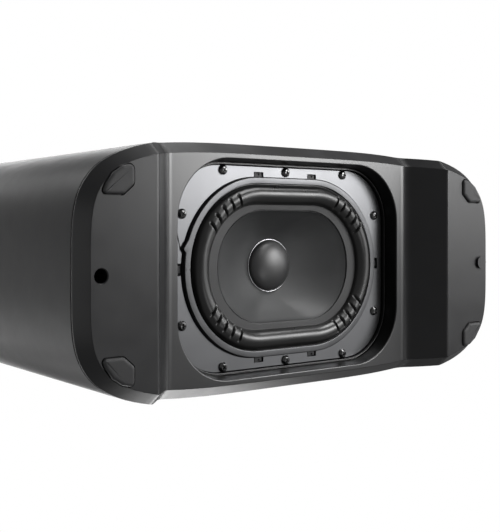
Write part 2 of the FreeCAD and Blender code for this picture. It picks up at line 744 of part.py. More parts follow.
def make_surround():
    """A half roll of rubber with a flat lip on each side."""
    rubber = size("rubber")
    bend = size("roll_width") / 2
    middle = rounded_wire(*(value - bend for value in roll), landing_level)
    x = roll[0] - bend
    outside = Part.Arc(Vector(x - bend, 0, landing_level), Vector(x, 0, landing_level - bend),
                       Vector(x + bend, 0, landing_level))
    thin = bend - rubber
    inside = Part.Arc(Vector(x + thin, 0, landing_level), Vector(x, 0, landing_level - thin),
                      Vector(x - thin, 0, landing_level))
    edges = [outside.toShape(), Part.makeLine(outside.EndPoint, inside.StartPoint),
             inside.toShape(), Part.makeLine(inside.EndPoint, outside.StartPoint)]
    half_roll = middle.makePipeShell([Part.Wire(edges)], True, True)
    outer_lip = rounded_prism(94.6, 68.4, 58.8, lip_level, landing_level)
    within_roll = tuple(value - 0.4 for value in roll)
    outer_lip = outer_lip.cut(rounded_prism(*within_roll, lip_level - 1, landing_level + 1))
    inner = tuple(value - 2 * bend + 0.4 for value in roll)
    inner_lip = rounded_prism(*inner, lip_level, landing_level)
    inner_lip = inner_lip.cut(rounded_prism(*seam, lip_level - 1, landing_level + 1))
    return half_roll.fuse([outer_lip, inner_lip]).removeSplitter()


keep(feature("surround_shape", make_surround()), "surround")


def make_cone():
    """A shallow cone between the oblong seam and the round neck."""
    neck = size("neck_radius")
    front = Part.makeLoft([rounded_wire(*seam, landing_level),
                           rounded_wire(neck + 0.3, neck + 0.3, neck, size("neck_level"))], True, True)
    rear = front.copy()
    rear.translate(Vector(0, 0, size("cone_thick")))
    land = tuple(value - size("roll_width") - 0.8 for value in roll)
    edge = rounded_prism(*land, landing_level, landing_level + size("cone_thick"))
    cone = rear.fuse(edge).cut(front)
    return cone.cut(round_bar(neck - 0.1, (0, 0, 0), (0, 0, 100))).removeSplitter()


keep(feature("cone_shape", make_cone()), "cone")

cap = body("dust_cap")
dome = sketch(cap, "dome_profile", role="XZ_Plane")
cap_radius = size("cap_radius")
cap_height = size("cap_height")
cap_edge = size("cap_level")
dome_radius = (cap_radius ** 2 + cap_height ** 2) / (2 * cap_height)
dome_centre = cap_edge - cap_height + dome_radius
SHEET = 0.6


def dome_arc(radius, low):
    """The half profile of a dome of one radius, from its apex to the edge plane."""
    edge = math.sqrt(radius ** 2 - (dome_centre - cap_edge) ** 2)
    tilt = math.atan2(edge, dome_centre - cap_edge)
    middle = Vector(radius * math.sin(tilt / 2), dome_centre - radius * math.cos(tilt / 2), 0)
    return Part.Arc(Vector(0, low, 0), middle, Vector(edge, cap_edge, 0))


outer_arc = dome_arc(dome_radius, cap_edge - cap_height)
inner_arc = dome_arc(dome_radius - SHEET, cap_edge - cap_height + SHEET)
dome.addGeometry([outer_arc, Part.LineSegment(outer_arc.EndPoint, inner_arc.EndPoint), inner_arc,
                  Part.LineSegment(inner_arc.StartPoint, outer_arc.StartPoint)], False)
for index in range(4):
    dome.addConstraint(constraint("Block", index))
turned = cap.newObject("PartDesign::Revolution", "dome")
turned.Profile = dome
turned.ReferenceAxis = (dome, ["V_Axis"])
turned.Angle = 360.0

former = keep(cut("former", cylinder("former_outer", "sizes.former_radius + sizes.former_wall",
                                     "sizes.former_top - sizes.cap_level - 0.6", z="sizes.cap_level + 0.6"),
                  cylinder("former_inner", "sizes.former_radius", "200")), "coil_former")
coil = keep(cut("coil", cylinder("coil_outer", "sizes.former_radius + sizes.former_wall + sizes.coil_thick",
                                 "sizes.coil_length", z="sizes.coil_low"),
                cylinder("coil_inner", "sizes.former_radius + sizes.former_wall", "200")), "voice_coil")


def make_spider():
    """The corrugated suspension disc between coil former and basket."""
    inner = size("former_radius") + size("former_wall") + 0.02
    outer_edge = size("spider_outer")
    thick = 0.5
    level = shelf_level - thick - 0.05
    flat_from = outer_edge - 5.0
    waves = 6
    steps = waves * 8
    middle = []
    for index in range(steps + 1):
        share = index / steps
        radius = inner + 3.0 + (flat_from - inner - 3.0) * share
        drop = size("spider_wave") * (1 - math.cos(2 * math.pi * waves * share))
        middle.append((radius, level - drop))
    middle = [(inner, level)] + middle + [(outer_edge, level)]
    lower = [Vector(radius, 0, z) for radius, z in middle]
    upper = [Vector(radius, 0, z + thick) for radius, z in reversed(middle)]
    face = Part.Face(Part.makePolygon(lower + upper + lower[:1]))
    return face.revolve(Vector(0, 0, 0), Vector(0, 0, 1), 360)


keep(feature("spider_shape", make_spider()), "spider")


# ---------------------------------------------------------------- motor

def ring_body(label, outer_radius, inner_radius, height, level):
    """A turned ring: one pad of two circles."""
    owner = body(label)
    profile = sketch(owner, label + "_profile", level=level)
    draw_circle(profile, outer_radius)
    draw_circle(profile, inner_radius)
    pad(owner, profile, height)
    return owner


ring_body("top_plate", "sizes.motor_radius", "sizes.plate_bore", "sizes.top_plate_thick",
          "sizes.motor_level")
ring_body("magnet", "sizes.magnet_radius", "sizes.magnet_hole", "sizes.magnet_thick",
          "sizes.motor_level + sizes.top_plate_thick")
back = body("pole_plate")
back_profile = sketch(back, "back_profile",
                      level="sizes.motor_level + sizes.top_plate_thick + sizes.magnet_thick")
draw_circle(back_profile, "sizes.motor_radius")
draw_circle(back_profile, "5.0")
pad(back, back_profile, "sizes.back_plate_thick")
pole_profile = sketch(back, "pole_profile",
                      level="sizes.motor_level + sizes.top_plate_thick + sizes.magnet_thick")
draw_circle(pole_profile, "sizes.pole_radius")
draw_circle(pole_profile, "5.0")
pad(back, pole_profile, "sizes.top_plate_thick + sizes.magnet_thick", reverse=True)

TAB_PLACES = (-7, 7)
terminal_base = box("terminal_base", "26", "8", "3", "-13", "47.5", "sizes.shelf_level + 2.5")
terminal_tabs = [box("terminal_tab%d" % index, "4.8", "0.8", "9", "%s - 2.4" % x, "51",
                     "sizes.shelf_level + 5.5") for index, x in enumerate(TAB_PLACES)]
keep(fuse("terminal_fused", [terminal_base] + terminal_tabs), "driver_terminal")
plug_body = box("plug_body", "24", "5.6", "9", "-12", "48.6", "sizes.shelf_level + 9")
plug_slots = [box("plug_slot%d" % index, "5.2", "1.2", "6.7", "%s - 2.6" % x, "50.8",
                  "sizes.shelf_level + 8") for index, x in enumerate(TAB_PLACES)]
keep(cut("driver_plug", plug_body, *plug_slots), "driver_plug")


# ---------------------------------------------------------------- amplifier

INLET = (-30.0, -70.0)
BUTTON = (20.0, 62.0)
LAMP = (34.0, 62.0)
INLET_HALF = (9.0, 6.0)
SOCKET_HALF = (7.3, 4.1, 3.9)
FLANGE_HALF = (14.0, 8.6, 2.5)

panel = body("amp_panel")
panel_profile = sketch(panel, "panel_profile", role="XZ_Plane", level="-(sizes.panel_face)")
panel_profile.setExpression(".AttachmentOffset.Base.y", "sizes.panel_centre")
draw_rounded(panel_profile, "sizes.panel_half_x", "sizes.panel_half_z", "sizes.panel_corner")
for x, z in panel_screw_places:
    draw_circle(panel_profile, "sizes.hole_radius", x, z - panel_centre)
draw_circle(panel_profile, "sizes.button_radius + 0.35", *BUTTON)
draw_circle(panel_profile, "1.6", *LAMP)
draw_polygon(panel_profile, [(INLET[0] + sx * (INLET_HALF[0] + 0.3), INLET[1] + sy * (INLET_HALF[1] + 0.3))
                             for sx, sy in ((-1, -1), (1, -1), (1, 1), (-1, 1))])
pad(panel, panel_profile, "sizes.panel_thick")

panel_gasket = feature("panel_gasket_shape",
                       upright_prism(*panel_half, seat_level, panel_back).cut(
                           [panel_opening(0.5, seat_level - 1, panel_back + 1)]
                           + [round_bar(clearance, (x, seat_level - 1, z), (x, panel_back + 1, z))
                              for x, z in panel_screw_places]))
keep(panel_gasket, "panel_gasket")

board_face = size("board_level")
board_rear = board_face - size("board_thick")
keep(box("board", "sizes.board_wide", "sizes.board_thick", "sizes.board_high", "-sizes.board_wide / 2",
         "sizes.board_level - sizes.board_thick", "sizes.panel_centre - sizes.board_drop"), "amp_board")

PILLAR_PLACES = [(-41, -46), (41, -46), (-41, 64), (41, 64)]
pillars = [cylinder("pillar%d" % index, "3", "sizes.panel_face - sizes.panel_thick - sizes.board_level",
                    "%s" % x, "sizes.board_level", "sizes.panel_centre + %s" % z, (0, 1, 0))
           for index, (x, z) in enumerate(PILLAR_PLACES)]
pillar_group = doc.addObject("Part::Compound", "pillar_group")
pillar_group.Links = pillars
keep(pillar_group, "board_pillars")

sink = body("heat_sink")
sink_profile = sketch(sink, "sink_profile", role="XY_Plane", level="sizes.panel_centre + 2")
sink_left = -42.0
sink_front = board_rear - 0.2
fin_root = board_rear - 5.0
fin_rear = board_rear - 30.0
fin_count = 7
fin_pitch = 5.0
fin_thick = 1.6
fins = [(sink_left, sink_front)]
for index in range(fin_count):
    fin_x = sink_left + fin_pitch * index
    fins += [(fin_x, fin_rear), (fin_x + fin_thick, fin_rear), (fin_x + fin_thick, fin_root),
             (fin_x + fin_pitch, fin_root)]
fins[-2:] = [(sink_left + fin_pitch * (fin_count - 1) + fin_thick, sink_front)]
draw_polygon(sink_profile, fins)
pad(sink, sink_profile, "52")

BOARD_REAR = "sizes.board_level - sizes.board_thick"
PANEL_REAR = "sizes.panel_face - sizes.panel_thick"


def at_height(offset):
    """A formula for a height given from the panel's middle."""
    return "sizes.panel_centre + %s" % offset


core = box("core", "34", "26", "30", "6", BOARD_REAR + " - 27", at_height(-42))
bobbin = cylinder("bobbin", "12", "38", "23", BOARD_REAR + " - 14", at_height(-46))
keep(fuse("transformer_fused", [core, bobbin]), "transformer")

caps = [cylinder("can%d" % index, "sizes.can_radius", "sizes.can_length", "%s" % x, BOARD_REAR + " - 0.2",
                 at_height(16), (0, -1, 0)) for index, x in enumerate((10, 32))]
cap_group = doc.addObject("Part::Compound", "can_group")
cap_group.Links = caps
keep(cap_group, "capacitors")

keep(box("radio_can", "20", "3.4", "24", "-38", "sizes.board_level + 0.1", at_height(26)),
     "wireless_module")
keep(box("connector_block", "12", "10", "9", "22", BOARD_REAR + " - 10.2", at_height(44)),
     "lead_connector")
keep(box("switch_block", "6.4", "3", "6.4", "%s - 3.2" % BUTTON[0], "sizes.board_level + 0.1",
         at_height(BUTTON[1]) + " - 3.2"), "pairing_switch")


def make_inlet():
    """A figure-of-eight mains inlet: flange, body and socket."""
    x = INLET[0]
    z = panel_centre + INLET[1]
    flange = upright_prism(*FLANGE_HALF, panel_face + 0.05, panel_face + 1.6)
    flange.translate(Vector(x, 0, z - panel_centre))
    half_x, half_z = INLET_HALF
    housing = block((x - half_x, panel_face - 20, z - half_z), (x + half_x, panel_face + 1, z + half_z))
    socket = upright_prism(*SOCKET_HALF, panel_face - 15, panel_face + 3)
    socket.translate(Vector(x, 0, z - panel_centre))
    holes = [round_bar(size("pin_radius"), (x + side * size("pin_pitch") / 2, panel_face - 30, z),
                       (x + side * size("pin_pitch") / 2, panel_face, z)) for side in (-1, 1)]
    return flange.fuse(housing).cut([socket] + holes).removeSplitter()


keep(feature("inlet_shape", make_inlet()), "mains_inlet")
pins = [cylinder("pin%d" % index, "sizes.pin_radius", "19",
                 "%s + %s * sizes.pin_pitch / 2" % (INLET[0], side), "sizes.panel_face - 24",
                 "sizes.panel_centre + %s" % INLET[1], (0, 1, 0)) for index, side in enumerate((-1, 1))]
pin_group = doc.addObject("Part::Compound", "pin_group")
pin_group.Links = pins
keep(pin_group, "inlet_pins")


def button_piece(name, radius, length, depth):
    """A cylinder of the pairing button, from a depth outwards."""
    return cylinder(name, radius, length, "%s" % BUTTON[0], depth, at_height(BUTTON[1]), (0, 1, 0))


stem_depth = "sizes.board_level + 3.4 + sizes.button_travel"
cap_disc = button_piece("button_cap", "sizes.button_radius", "sizes.panel_thick + 2.2", PANEL_REAR + " - 1")
collar = button_piece("button_collar", "sizes.button_radius + 1.4", "1.2", PANEL_REAR + " - 1.5")
stem = button_piece("button_stem", "1.8", PANEL_REAR + " - 1 - (%s)" % stem_depth, stem_depth)
keep(fuse("button_fused", [cap_disc, collar, stem]), "pairing_button")

lamp_rod = cylinder("lamp_rod", "1.5", "sizes.panel_thick + 8.2", "%s" % LAMP[0], PANEL_REAR + " - 8",
                    at_height(LAMP[1]), (0, 1, 0))
lamp_collar = cylinder("lamp_collar", "2.6", "1", "%s" % LAMP[0], PANEL_REAR + " - 1",
                       at_height(LAMP[1]), (0, 1, 0))
keep(fuse("lamp_fused", [lamp_rod, lamp_collar]), "status_lens")


# ---------------------------------------------------------------- internal lead

def tangent_path(points):
    """Straight runs joined by arcs as large as the runs allow."""
    points = [Vector(*point) for point in points]
    edges = []
    here = points[0]
    for before, corner, after in zip(points, points[1:], points[2:]):
        arriving = (corner - before).normalize()
        leaving = (after - corner).normalize()
        turn = arriving.getAngle(leaving)
        trim = 0.45 * min((corner - before).Length, (after - corner).Length)
        radius = trim / math.tan(turn / 2)
        enter = corner - arriving * trim
        leave = corner + leaving * trim
        inward = (leaving - arriving).normalize()
        middle = corner + inward * (radius / math.cos(turn / 2) - radius)
        edges.append(Part.makeLine(here, enter))
        edges.append(Part.Arc(enter, middle, leave).toShape())
        here = leave
    edges.append(Part.makeLine(here, points[-1]))
    return Part.Wire(edges)


LEAD_RADIUS = 2.0
LEAD_ROUTE = [(0.0, 54.2, 97.0), (0.0, 64.0, 97.0), (0.0, 68.0, 112.0), (4.0, 67.0, 134.0),
              (22.0, 52.0, 158.0), (47.0, 34.0, 186.0), (54.0, 30.0, 222.0), (50.0, 30.0, 258.0),
              (34.0, 40.0, 283.0), (28.0, 54.0, 288.5), (28.0, 60.7, 288.5)]


def make_lead():
    """The two-core lead from the amplifier board to the driver."""
    path = tangent_path(LEAD_ROUTE)
    start = path.Edges[0].Vertexes[0].Point
    direction = (Vector(*LEAD_ROUTE[1]) - Vector(*LEAD_ROUTE[0])).normalize()
    circle = Part.Wire([Part.makeCircle(LEAD_RADIUS, start, direction)])
    tube = path.makePipeShell([circle], True, False)
    expected = math.pi * LEAD_RADIUS ** 2 * path.Length
    if abs(tube.Volume / expected - 1) > 0.02:
        raise ValueError("the lead's volume is %.0f, not %.0f" % (tube.Volume, expected))
    return tube


keep(feature("lead_shape", make_lead()), "speaker_lead")


# ---------------------------------------------------------------- check and write

doc.recompute()
for obj in doc.Objects:
    if "Invalid" in obj.State or "Error" in obj.State:
        raise ValueError("%s did not compute: %s" % (obj.Label, obj.State))
os.makedirs("parts", exist_ok=True)
for label, obj in nodes.items():
    shape = obj.Shape
    if shape.isNull() or not shape.isValid() or not shape.Solids:
        raise ValueError("%s has no valid solid" % label)
    print("%-18s solids %2d  volume %10.0f" % (label, len(shape.Solids), shape.Volume), shape.BoundBox)
    shape.exportStep("parts/%s.step" % label)
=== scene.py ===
import bmesh
import bpy
import json
import math
import random
import numpy as np
from mathutils import Matrix, Vector


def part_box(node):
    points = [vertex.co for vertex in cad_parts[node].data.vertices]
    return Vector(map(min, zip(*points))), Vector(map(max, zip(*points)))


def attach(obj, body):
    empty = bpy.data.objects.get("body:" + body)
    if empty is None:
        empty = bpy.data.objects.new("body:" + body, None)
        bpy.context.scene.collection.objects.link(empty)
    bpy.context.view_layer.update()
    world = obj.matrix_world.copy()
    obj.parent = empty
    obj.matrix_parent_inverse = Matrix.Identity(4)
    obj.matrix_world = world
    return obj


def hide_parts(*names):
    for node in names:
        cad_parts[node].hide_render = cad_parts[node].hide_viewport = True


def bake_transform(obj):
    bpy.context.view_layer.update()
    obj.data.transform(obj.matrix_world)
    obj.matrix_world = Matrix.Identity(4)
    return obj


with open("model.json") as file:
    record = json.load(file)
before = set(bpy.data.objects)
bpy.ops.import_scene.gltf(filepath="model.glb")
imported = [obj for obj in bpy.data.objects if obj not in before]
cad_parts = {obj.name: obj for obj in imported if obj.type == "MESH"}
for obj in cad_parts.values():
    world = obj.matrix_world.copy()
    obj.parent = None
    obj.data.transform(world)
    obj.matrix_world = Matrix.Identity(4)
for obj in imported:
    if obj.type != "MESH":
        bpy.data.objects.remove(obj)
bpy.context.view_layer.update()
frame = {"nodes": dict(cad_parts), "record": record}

# The tower stands on its feet, +Z up, front towards -Y. Sizes are in millimetres
# and become metres when a mesh is made. An inset is counted inwards from an outline.
MM = 0.001


def reach(node, axis, end=1):
    """How far a CAD node reaches along an axis, in millimetres."""
    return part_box(node)[end][axis] / MM


HALF_WIDTH = reach("cabinet_shell", 0)
HALF_DEPTH = reach("cabinet_shell", 1)
TOWER_TOP = reach("top_cap", 2)
FACE = reach("base", 2, 0)
POWER = 4.2
BLOCK_EDGE = 144.0
CHANNEL_HALF = 122.0
FLOOR = FACE + 28.0
CREASE_RADIUS = 3.5
FILLET_RADIUS = 12.0
BEVEL_INSET = 8.0
BEVEL_RISE = 9.5
LIP = 1.6
SHADOW_GAP = 0.8
EDGE_ROUND = 0.7
WALL_ROUND = 0.5
WALL = 6.0
TONGUE_INSET = WALL + 0.2
TONGUE_WALL = 4.0
TONGUE_HEIGHT = 34.0
SKIN = 4.5
PLATE_LEVEL = reach("driver_plate", 2, 0)
PLATE_TOP = reach("driver_plate", 2)
RING_LEVEL = reach("trim_ring", 2, 0)
PANEL_FACE = reach("amp_panel", 1)
PANEL_CENTRE = (reach("amp_panel", 2) + reach("amp_panel", 2, 0)) / 2


# ------------------------------------------------------------------ camera

CAMERA_PLACE = (-0.46835, -0.0322, -0.52058)
CAMERA_TURN = math.radians(37.43)
CAMERA_LENS = 62.41
CAMERA_SHIFT = -0.0757


def add_camera():
    """Below the tower and to its left, looking up at the driver, with the front at the top."""
    data = bpy.data.cameras.new("camera")
    camera = bpy.data.objects.new("camera", data)
    bpy.context.scene.collection.objects.link(camera)
    right = Vector((math.cos(CAMERA_TURN), 0, -math.sin(CAMERA_TURN)))
    upward = Vector((0, -1, 0))
    backward = right.cross(upward)
    rotation = Matrix((right, upward, backward)).transposed()
    camera.matrix_world = Matrix.Translation(CAMERA_PLACE) @ rotation.to_4x4()
    data.sensor_width = 36.0
    data.lens = CAMERA_LENS
    data.shift_y = CAMERA_SHIFT
    data.clip_start = 0.01
    data.clip_end = 50.0
    bpy.context.scene.camera = camera


# ------------------------------------------------------------------ materials

def socket(shader, name, value):
    """Sets one input of a shader node."""
    shader.inputs[name].default_value = value


def new_material(name, color, roughness, metallic=0.0, specular=0.5, coat=0.0, coat_roughness=0.1):
    """A Principled material, returned with its node tree and its shader node."""
    material = bpy.data.materials.new(name)
    material.use_nodes = True
    tree = material.node_tree
    shader = next(n for n in tree.nodes if n.type == "BSDF_PRINCIPLED")
    socket(shader, "Base Color", (*color, 1.0))
    socket(shader, "Roughness", roughness)
    socket(shader, "Metallic", metallic)
    socket(shader, "Specular IOR Level", specular)
    socket(shader, "Coat Weight", coat)
    socket(shader, "Coat Roughness", coat_roughness)
    return material, tree, shader


def noise(tree, scale, detail=2.0):
    """Noise in the row frame; scale counts cells per metre."""
    place = tree.nodes.new("ShaderNodeTexCoord")
    texture = tree.nodes.new("ShaderNodeTexNoise")
    texture.inputs["Scale"].default_value = scale
    texture.inputs["Detail"].default_value = detail
    tree.links.new(place.outputs["Object"], texture.inputs["Vector"])
    return texture.outputs["Fac"]


def threads(tree, direction, scale):
    """Even bands across a direction, such as a winding's turns or a cloth's threads."""
    place = tree.nodes.new("ShaderNodeTexCoord")
    wave = tree.nodes.new("ShaderNodeTexWave")
    wave.bands_direction = direction
    wave.inputs["Scale"].default_value = scale
    tree.links.new(place.outputs["Object"], wave.inputs["Vector"])
    return wave.outputs["Fac"]


NOISE_RANGE = (0.3, 0.7)


def spread(tree, source, low, high):
    """Maps noise onto a range."""
    node = tree.nodes.new("ShaderNodeMapRange")
    node.inputs["From Min"].default_value = NOISE_RANGE[0]
    node.inputs["From Max"].default_value = NOISE_RANGE[1]
    node.inputs["To Min"].default_value = low
    node.inputs["To Max"].default_value = high
    tree.links.new(source, node.inputs["Value"])
    return node.outputs["Result"]


def tint(tree, shader, source, dark, light):
    """Varies the base colour between two colours."""
    mix = tree.nodes.new("ShaderNodeMix")
    mix.data_type = "RGBA"
    mix.inputs["A"].default_value = (*dark, 1.0)
    mix.inputs["B"].default_value = (*light, 1.0)
    tree.links.new(source, mix.inputs["Factor"])
    tree.links.new(mix.outputs["Result"], shader.inputs["Base Color"])


def bump(tree, shader, source, height_mm, strength=1.0):
    """Raises a surface's shading by a texture."""
    node = tree.nodes.new("ShaderNodeBump")
    node.inputs["Strength"].default_value = strength
    node.inputs["Distance"].default_value = height_mm * MM
    tree.links.new(source, node.inputs["Height"])
    tree.links.new(node.outputs["Normal"], shader.inputs["Normal"])


CLOUD_CELLS = 28.0
PATCH_CELLS = 60.0


def grained(name, color, roughness, grain, height, vary=0.12, cloudy=0.03, **shine):
    """A moulded or painted surface: fine grain, cloudy roughness and a slight tint.

    grain counts cells per metre, height is in millimetres, vary is the share by which the
    colour changes and cloudy is how far the roughness changes."""
    material, tree, shader = new_material(name, color, roughness, **shine)
    cloud = noise(tree, CLOUD_CELLS, 4.0)
    tint(tree, shader, spread(tree, cloud, 0.0, 1.0), [c * (1 - vary) for c in color],
         [c * (1 + vary) for c in color])
    patch = noise(tree, PATCH_CELLS, 3.0)
    tree.links.new(spread(tree, patch, roughness - cloudy, roughness + cloudy),
                   shader.inputs["Roughness"])
    bump(tree, shader, noise(tree, grain), height, 0.5)
    return material


def copper_material():
    """Fine turns of enamelled wire round the coil."""
    material, tree, shader = new_material("copper_winding", (0.55, 0.22, 0.10), 0.30, metallic=1.0)
    bump(tree, shader, threads(tree, "Z", 620.0), 0.08)
    tint(tree, shader, noise(tree, 90.0), (0.50, 0.19, 0.08), (0.62, 0.27, 0.13))
    return material


def spider_material():
    """Resin-coated cloth: a plain weave of fine threads."""
    material, tree, shader = new_material("spider_cloth", (0.42, 0.28, 0.10), 0.75)
    total = tree.nodes.new("ShaderNodeMath")
    for index, direction in enumerate("XY"):
        tree.links.new(threads(tree, direction, 420.0), total.inputs[index])
    bump(tree, shader, total.outputs["Value"], 0.12)
    tint(tree, shader, noise(tree, 45.0), (0.36, 0.23, 0.08), (0.48, 0.33, 0.13))
    return material


def lens_material():
    """A small clear light pipe."""
    material, tree, shader = new_material("lens_clear", (0.80, 0.84, 0.88), 0.12)
    socket(shader, "Transmission Weight", 0.7)
    socket(shader, "IOR", 1.49)
    bump(tree, shader, noise(tree, 700.0), 0.004)
    return material


# Each slot's material name, colour, roughness, grain, grain height and other settings.
SURFACES = {
    "shell_plastic": ("shell_plastic", (0.009, 0.009, 0.010), 0.38, 3200, 0.012, {"specular": 0.6}),
    "base_plastic": ("base_plastic", (0.007, 0.007, 0.008), 0.34, 3600, 0.010, {"specular": 0.6}),
    # The channel roof's material is a lighter, more reflective copy of the base plastic: a painted
    # sheen.
    "channel_satin": ("channel_satin", (0.008, 0.008, 0.009), 0.30, 3600, 0.001,
                      {"cloudy": 0.008, "specular": 1.0}),
    # The recess wall's material is a darker, less reflective copy of the base plastic: painted
    # shade.
    "recess_gloss": ("recess_gloss", (0.003, 0.003, 0.003), 0.34, 2600, 0.004, {"specular": 0.22}),
    "plate_steel": ("plate_paint", (0.180, 0.182, 0.188), 0.34, 5200, 0.0005,
                    {"vary": 0.04, "cloudy": 0.008, "metallic": 1.0}),
    "trim_plastic": ("rim_paint", (0.120, 0.121, 0.125), 0.34, 2400, 0.006, {"metallic": 0.9}),
    "surround_rubber": ("surround_rubber", (0.006, 0.006, 0.006), 0.30, 1800, 0.006,
                        {"specular": 0.8}),
    "surround_lip": ("surround_lip", (0.038, 0.038, 0.039), 0.52, 1500, 0.020, {"specular": 0.50}),
    "foot_rubber": ("foot_rubber", (0.022, 0.022, 0.023), 0.55, 2400, 0.030, {}),
    "cone_pulp": ("cone_pulp", (0.036, 0.037, 0.038), 0.48, 1500, 0.030,
                  {"vary": 0.2, "specular": 0.7}),
    "cap_film": ("cap_film", (0.020, 0.020, 0.021), 0.36, 2000, 0.006, {"specular": 1.0}),
    # The bead's pale colour stands in for the highlight on the dust cap's rim: a painted highlight.
    "bead": ("bead_gloss", (0.62, 0.62, 0.64), 0.20, 900, 0.004, {"metallic": 0.9}),
    "black_steel": ("screw_black", (0.010, 0.010, 0.011), 0.10, 1500, 0.002,
                    {"cloudy": 0.02, "specular": 1.0, "coat": 1.0, "coat_roughness": 0.06}),
    "seal_foam": ("seal_foam", (0.020, 0.020, 0.021), 0.85, 900, 0.15, {}),
    "panel_plastic": ("panel_plastic", (0.024, 0.024, 0.026), 0.48, 2200, 0.035, {}),
    "part_plastic": ("socket_plastic", (0.018, 0.018, 0.019), 0.30, 2000, 0.006, {}),
    "plated_steel": ("plated_steel", (0.50, 0.50, 0.52), 0.34, 1200, 0.010, {"metallic": 1.0}),
    "ferrite": ("ferrite", (0.060, 0.060, 0.064), 0.70, 1400, 0.060, {}),
    "sink_metal": ("sink_aluminium", (0.40, 0.40, 0.42), 0.42, 900, 0.02, {"metallic": 1.0}),
    "former_metal": ("former_aluminium", (0.70, 0.70, 0.72), 0.30, 1000, 0.008, {"metallic": 1.0}),
    "pin_brass": ("contact_metal", (0.68, 0.60, 0.42), 0.26, 1000, 0.006, {"metallic": 1.0}),
    "circuit_board": ("solder_mask", (0.010, 0.075, 0.030), 0.32, 700, 0.02, {"vary": 0.25}),
    "basket_steel": ("basket_paint", (0.030, 0.030, 0.032), 0.44, 1600, 0.03, {}),
    "lead_vinyl": ("lead_vinyl", (0.020, 0.020, 0.021), 0.42, 900, 0.02, {}),
}
MATERIALS = {slot: grained(*values, **extra) for slot, (*values, extra) in SURFACES.items()}
MATERIALS["copper"] = copper_material()
MATERIALS["spider_cloth"] = spider_material()
MATERIALS["lens_clear"] = lens_material()


# ------------------------------------------------------------------ mesh helpers

def link(name, mesh):
    piece = bpy.data.objects.new(name, mesh)
    bpy.context.scene.collection.objects.link(piece)
    return piece


def mesh_piece(name, points, faces):
    """An object from points in millimetres."""
    mesh = bpy.data.meshes.new(name)
    mesh.from_pydata([[value * MM for value in point] for point in points], [], faces)
    mesh.validate()
    return link(name, mesh)


def apply_modifiers(piece):
    """Replaces the mesh by what its modifiers make of it."""
    graph = bpy.context.evaluated_depsgraph_get()
    mesh = bpy.data.meshes.new_from_object(piece.evaluated_get(graph))
    old = piece.data
    piece.modifiers.clear()
    piece.data = mesh
    bpy.data.meshes.remove(old)


def combine(piece, tools, operation):
    """Adds closed tools to a closed piece, or cuts them from it."""
    for tool in tools:
        modifier = piece.modifiers.new("combine", "BOOLEAN")
        modifier.operation = operation
        modifier.solver = "EXACT"
        modifier.object = tool
        apply_modifiers(piece)
        mesh = tool.data
        bpy.data.objects.remove(tool)
        bpy.data.meshes.remove(mesh)


def finish_piece(piece, material, body="cabinet", replaces=(), sharp=32.0):
    """Shading, material and the body it rides on."""
    mesh = piece.data
    mesh.materials.clear()
    mesh.materials.append(MATERIALS[material])
    mesh.shade_smooth()
    mesh.set_sharp_from_angle(angle=math.radians(sharp))
    weighted = piece.modifiers.new("normals", "WEIGHTED_NORMAL")
    weighted.keep_sharp = True
    weighted.weight = 80
    apply_modifiers(piece)
    if body:
        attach(piece, body)
    if replaces:
        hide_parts(*replaces)
    return piece


def closed_rings(name, rings, section_closed=True):
    """Quads between rings of points; the last ring meets the first, or both ends are capped."""
    rings = [np.asarray(ring, float) for ring in rings]
    count = len(rings[0])
    points = np.concatenate(rings)
    faces = []
    last = len(rings) if section_closed else len(rings) - 1
    for row in range(last):
        here = row * count
        there = (row + 1) % len(rings) * count
        for index in range(count):
            after = (index + 1) % count
            faces.append((here + index, here + after, there + after, there + index))
    if not section_closed:
        faces.append(tuple(reversed(range(count))))
        faces.append(tuple(range((len(rings) - 1) * count, len(rings) * count)))
    piece = mesh_piece(name, points, faces)
    fix_normals(piece)
    return piece


def fix_normals(piece):
    """Makes every face look outwards."""
    shape = bmesh.new()
    shape.from_mesh(piece.data)
    bmesh.ops.recalc_face_normals(shape, faces=shape.faces)
    if shape.calc_volume(signed=True) < 0:
        bmesh.ops.reverse_faces(shape, faces=shape.faces)
    shape.to_mesh(piece.data)
    shape.free()


def rounded_ring(half_x, half_y, corner, level, arc, straight):
    """A rounded rectangle at a level, with so many steps on each corner and each side."""
    points = []
    corners = [(1, 1, 0.0), (-1, 1, 90.0), (-1, -1, 180.0), (1, -1, 270.0)]
    for index, (sign_x, sign_y, start) in enumerate(corners):
        centre = np.array([sign_x * (half_x - corner), sign_y * (half_y - corner)])
        angles = np.radians(start + np.linspace(0, 90, arc + 1))
        bend = centre + corner * np.stack([np.cos(angles), np.sin(angles)], 1)
        next_x, next_y, next_start = corners[(index + 1) % 4]
        next_centre = np.array([next_x * (half_x - corner), next_y * (half_y - corner)])
        angle = math.radians(next_start)
        arrival = next_centre + corner * np.array([math.cos(angle), math.sin(angle)])
        shares = np.linspace(0, 1, straight + 1)[1:-1, None]
        points.append(bend)
        points.append(bend[-1] * (1 - shares) + arrival * shares)
    flat = np.concatenate(points)
    return np.column_stack([flat, np.full(len(flat), level)])


NEARLY_STRAIGHT = math.radians(172)


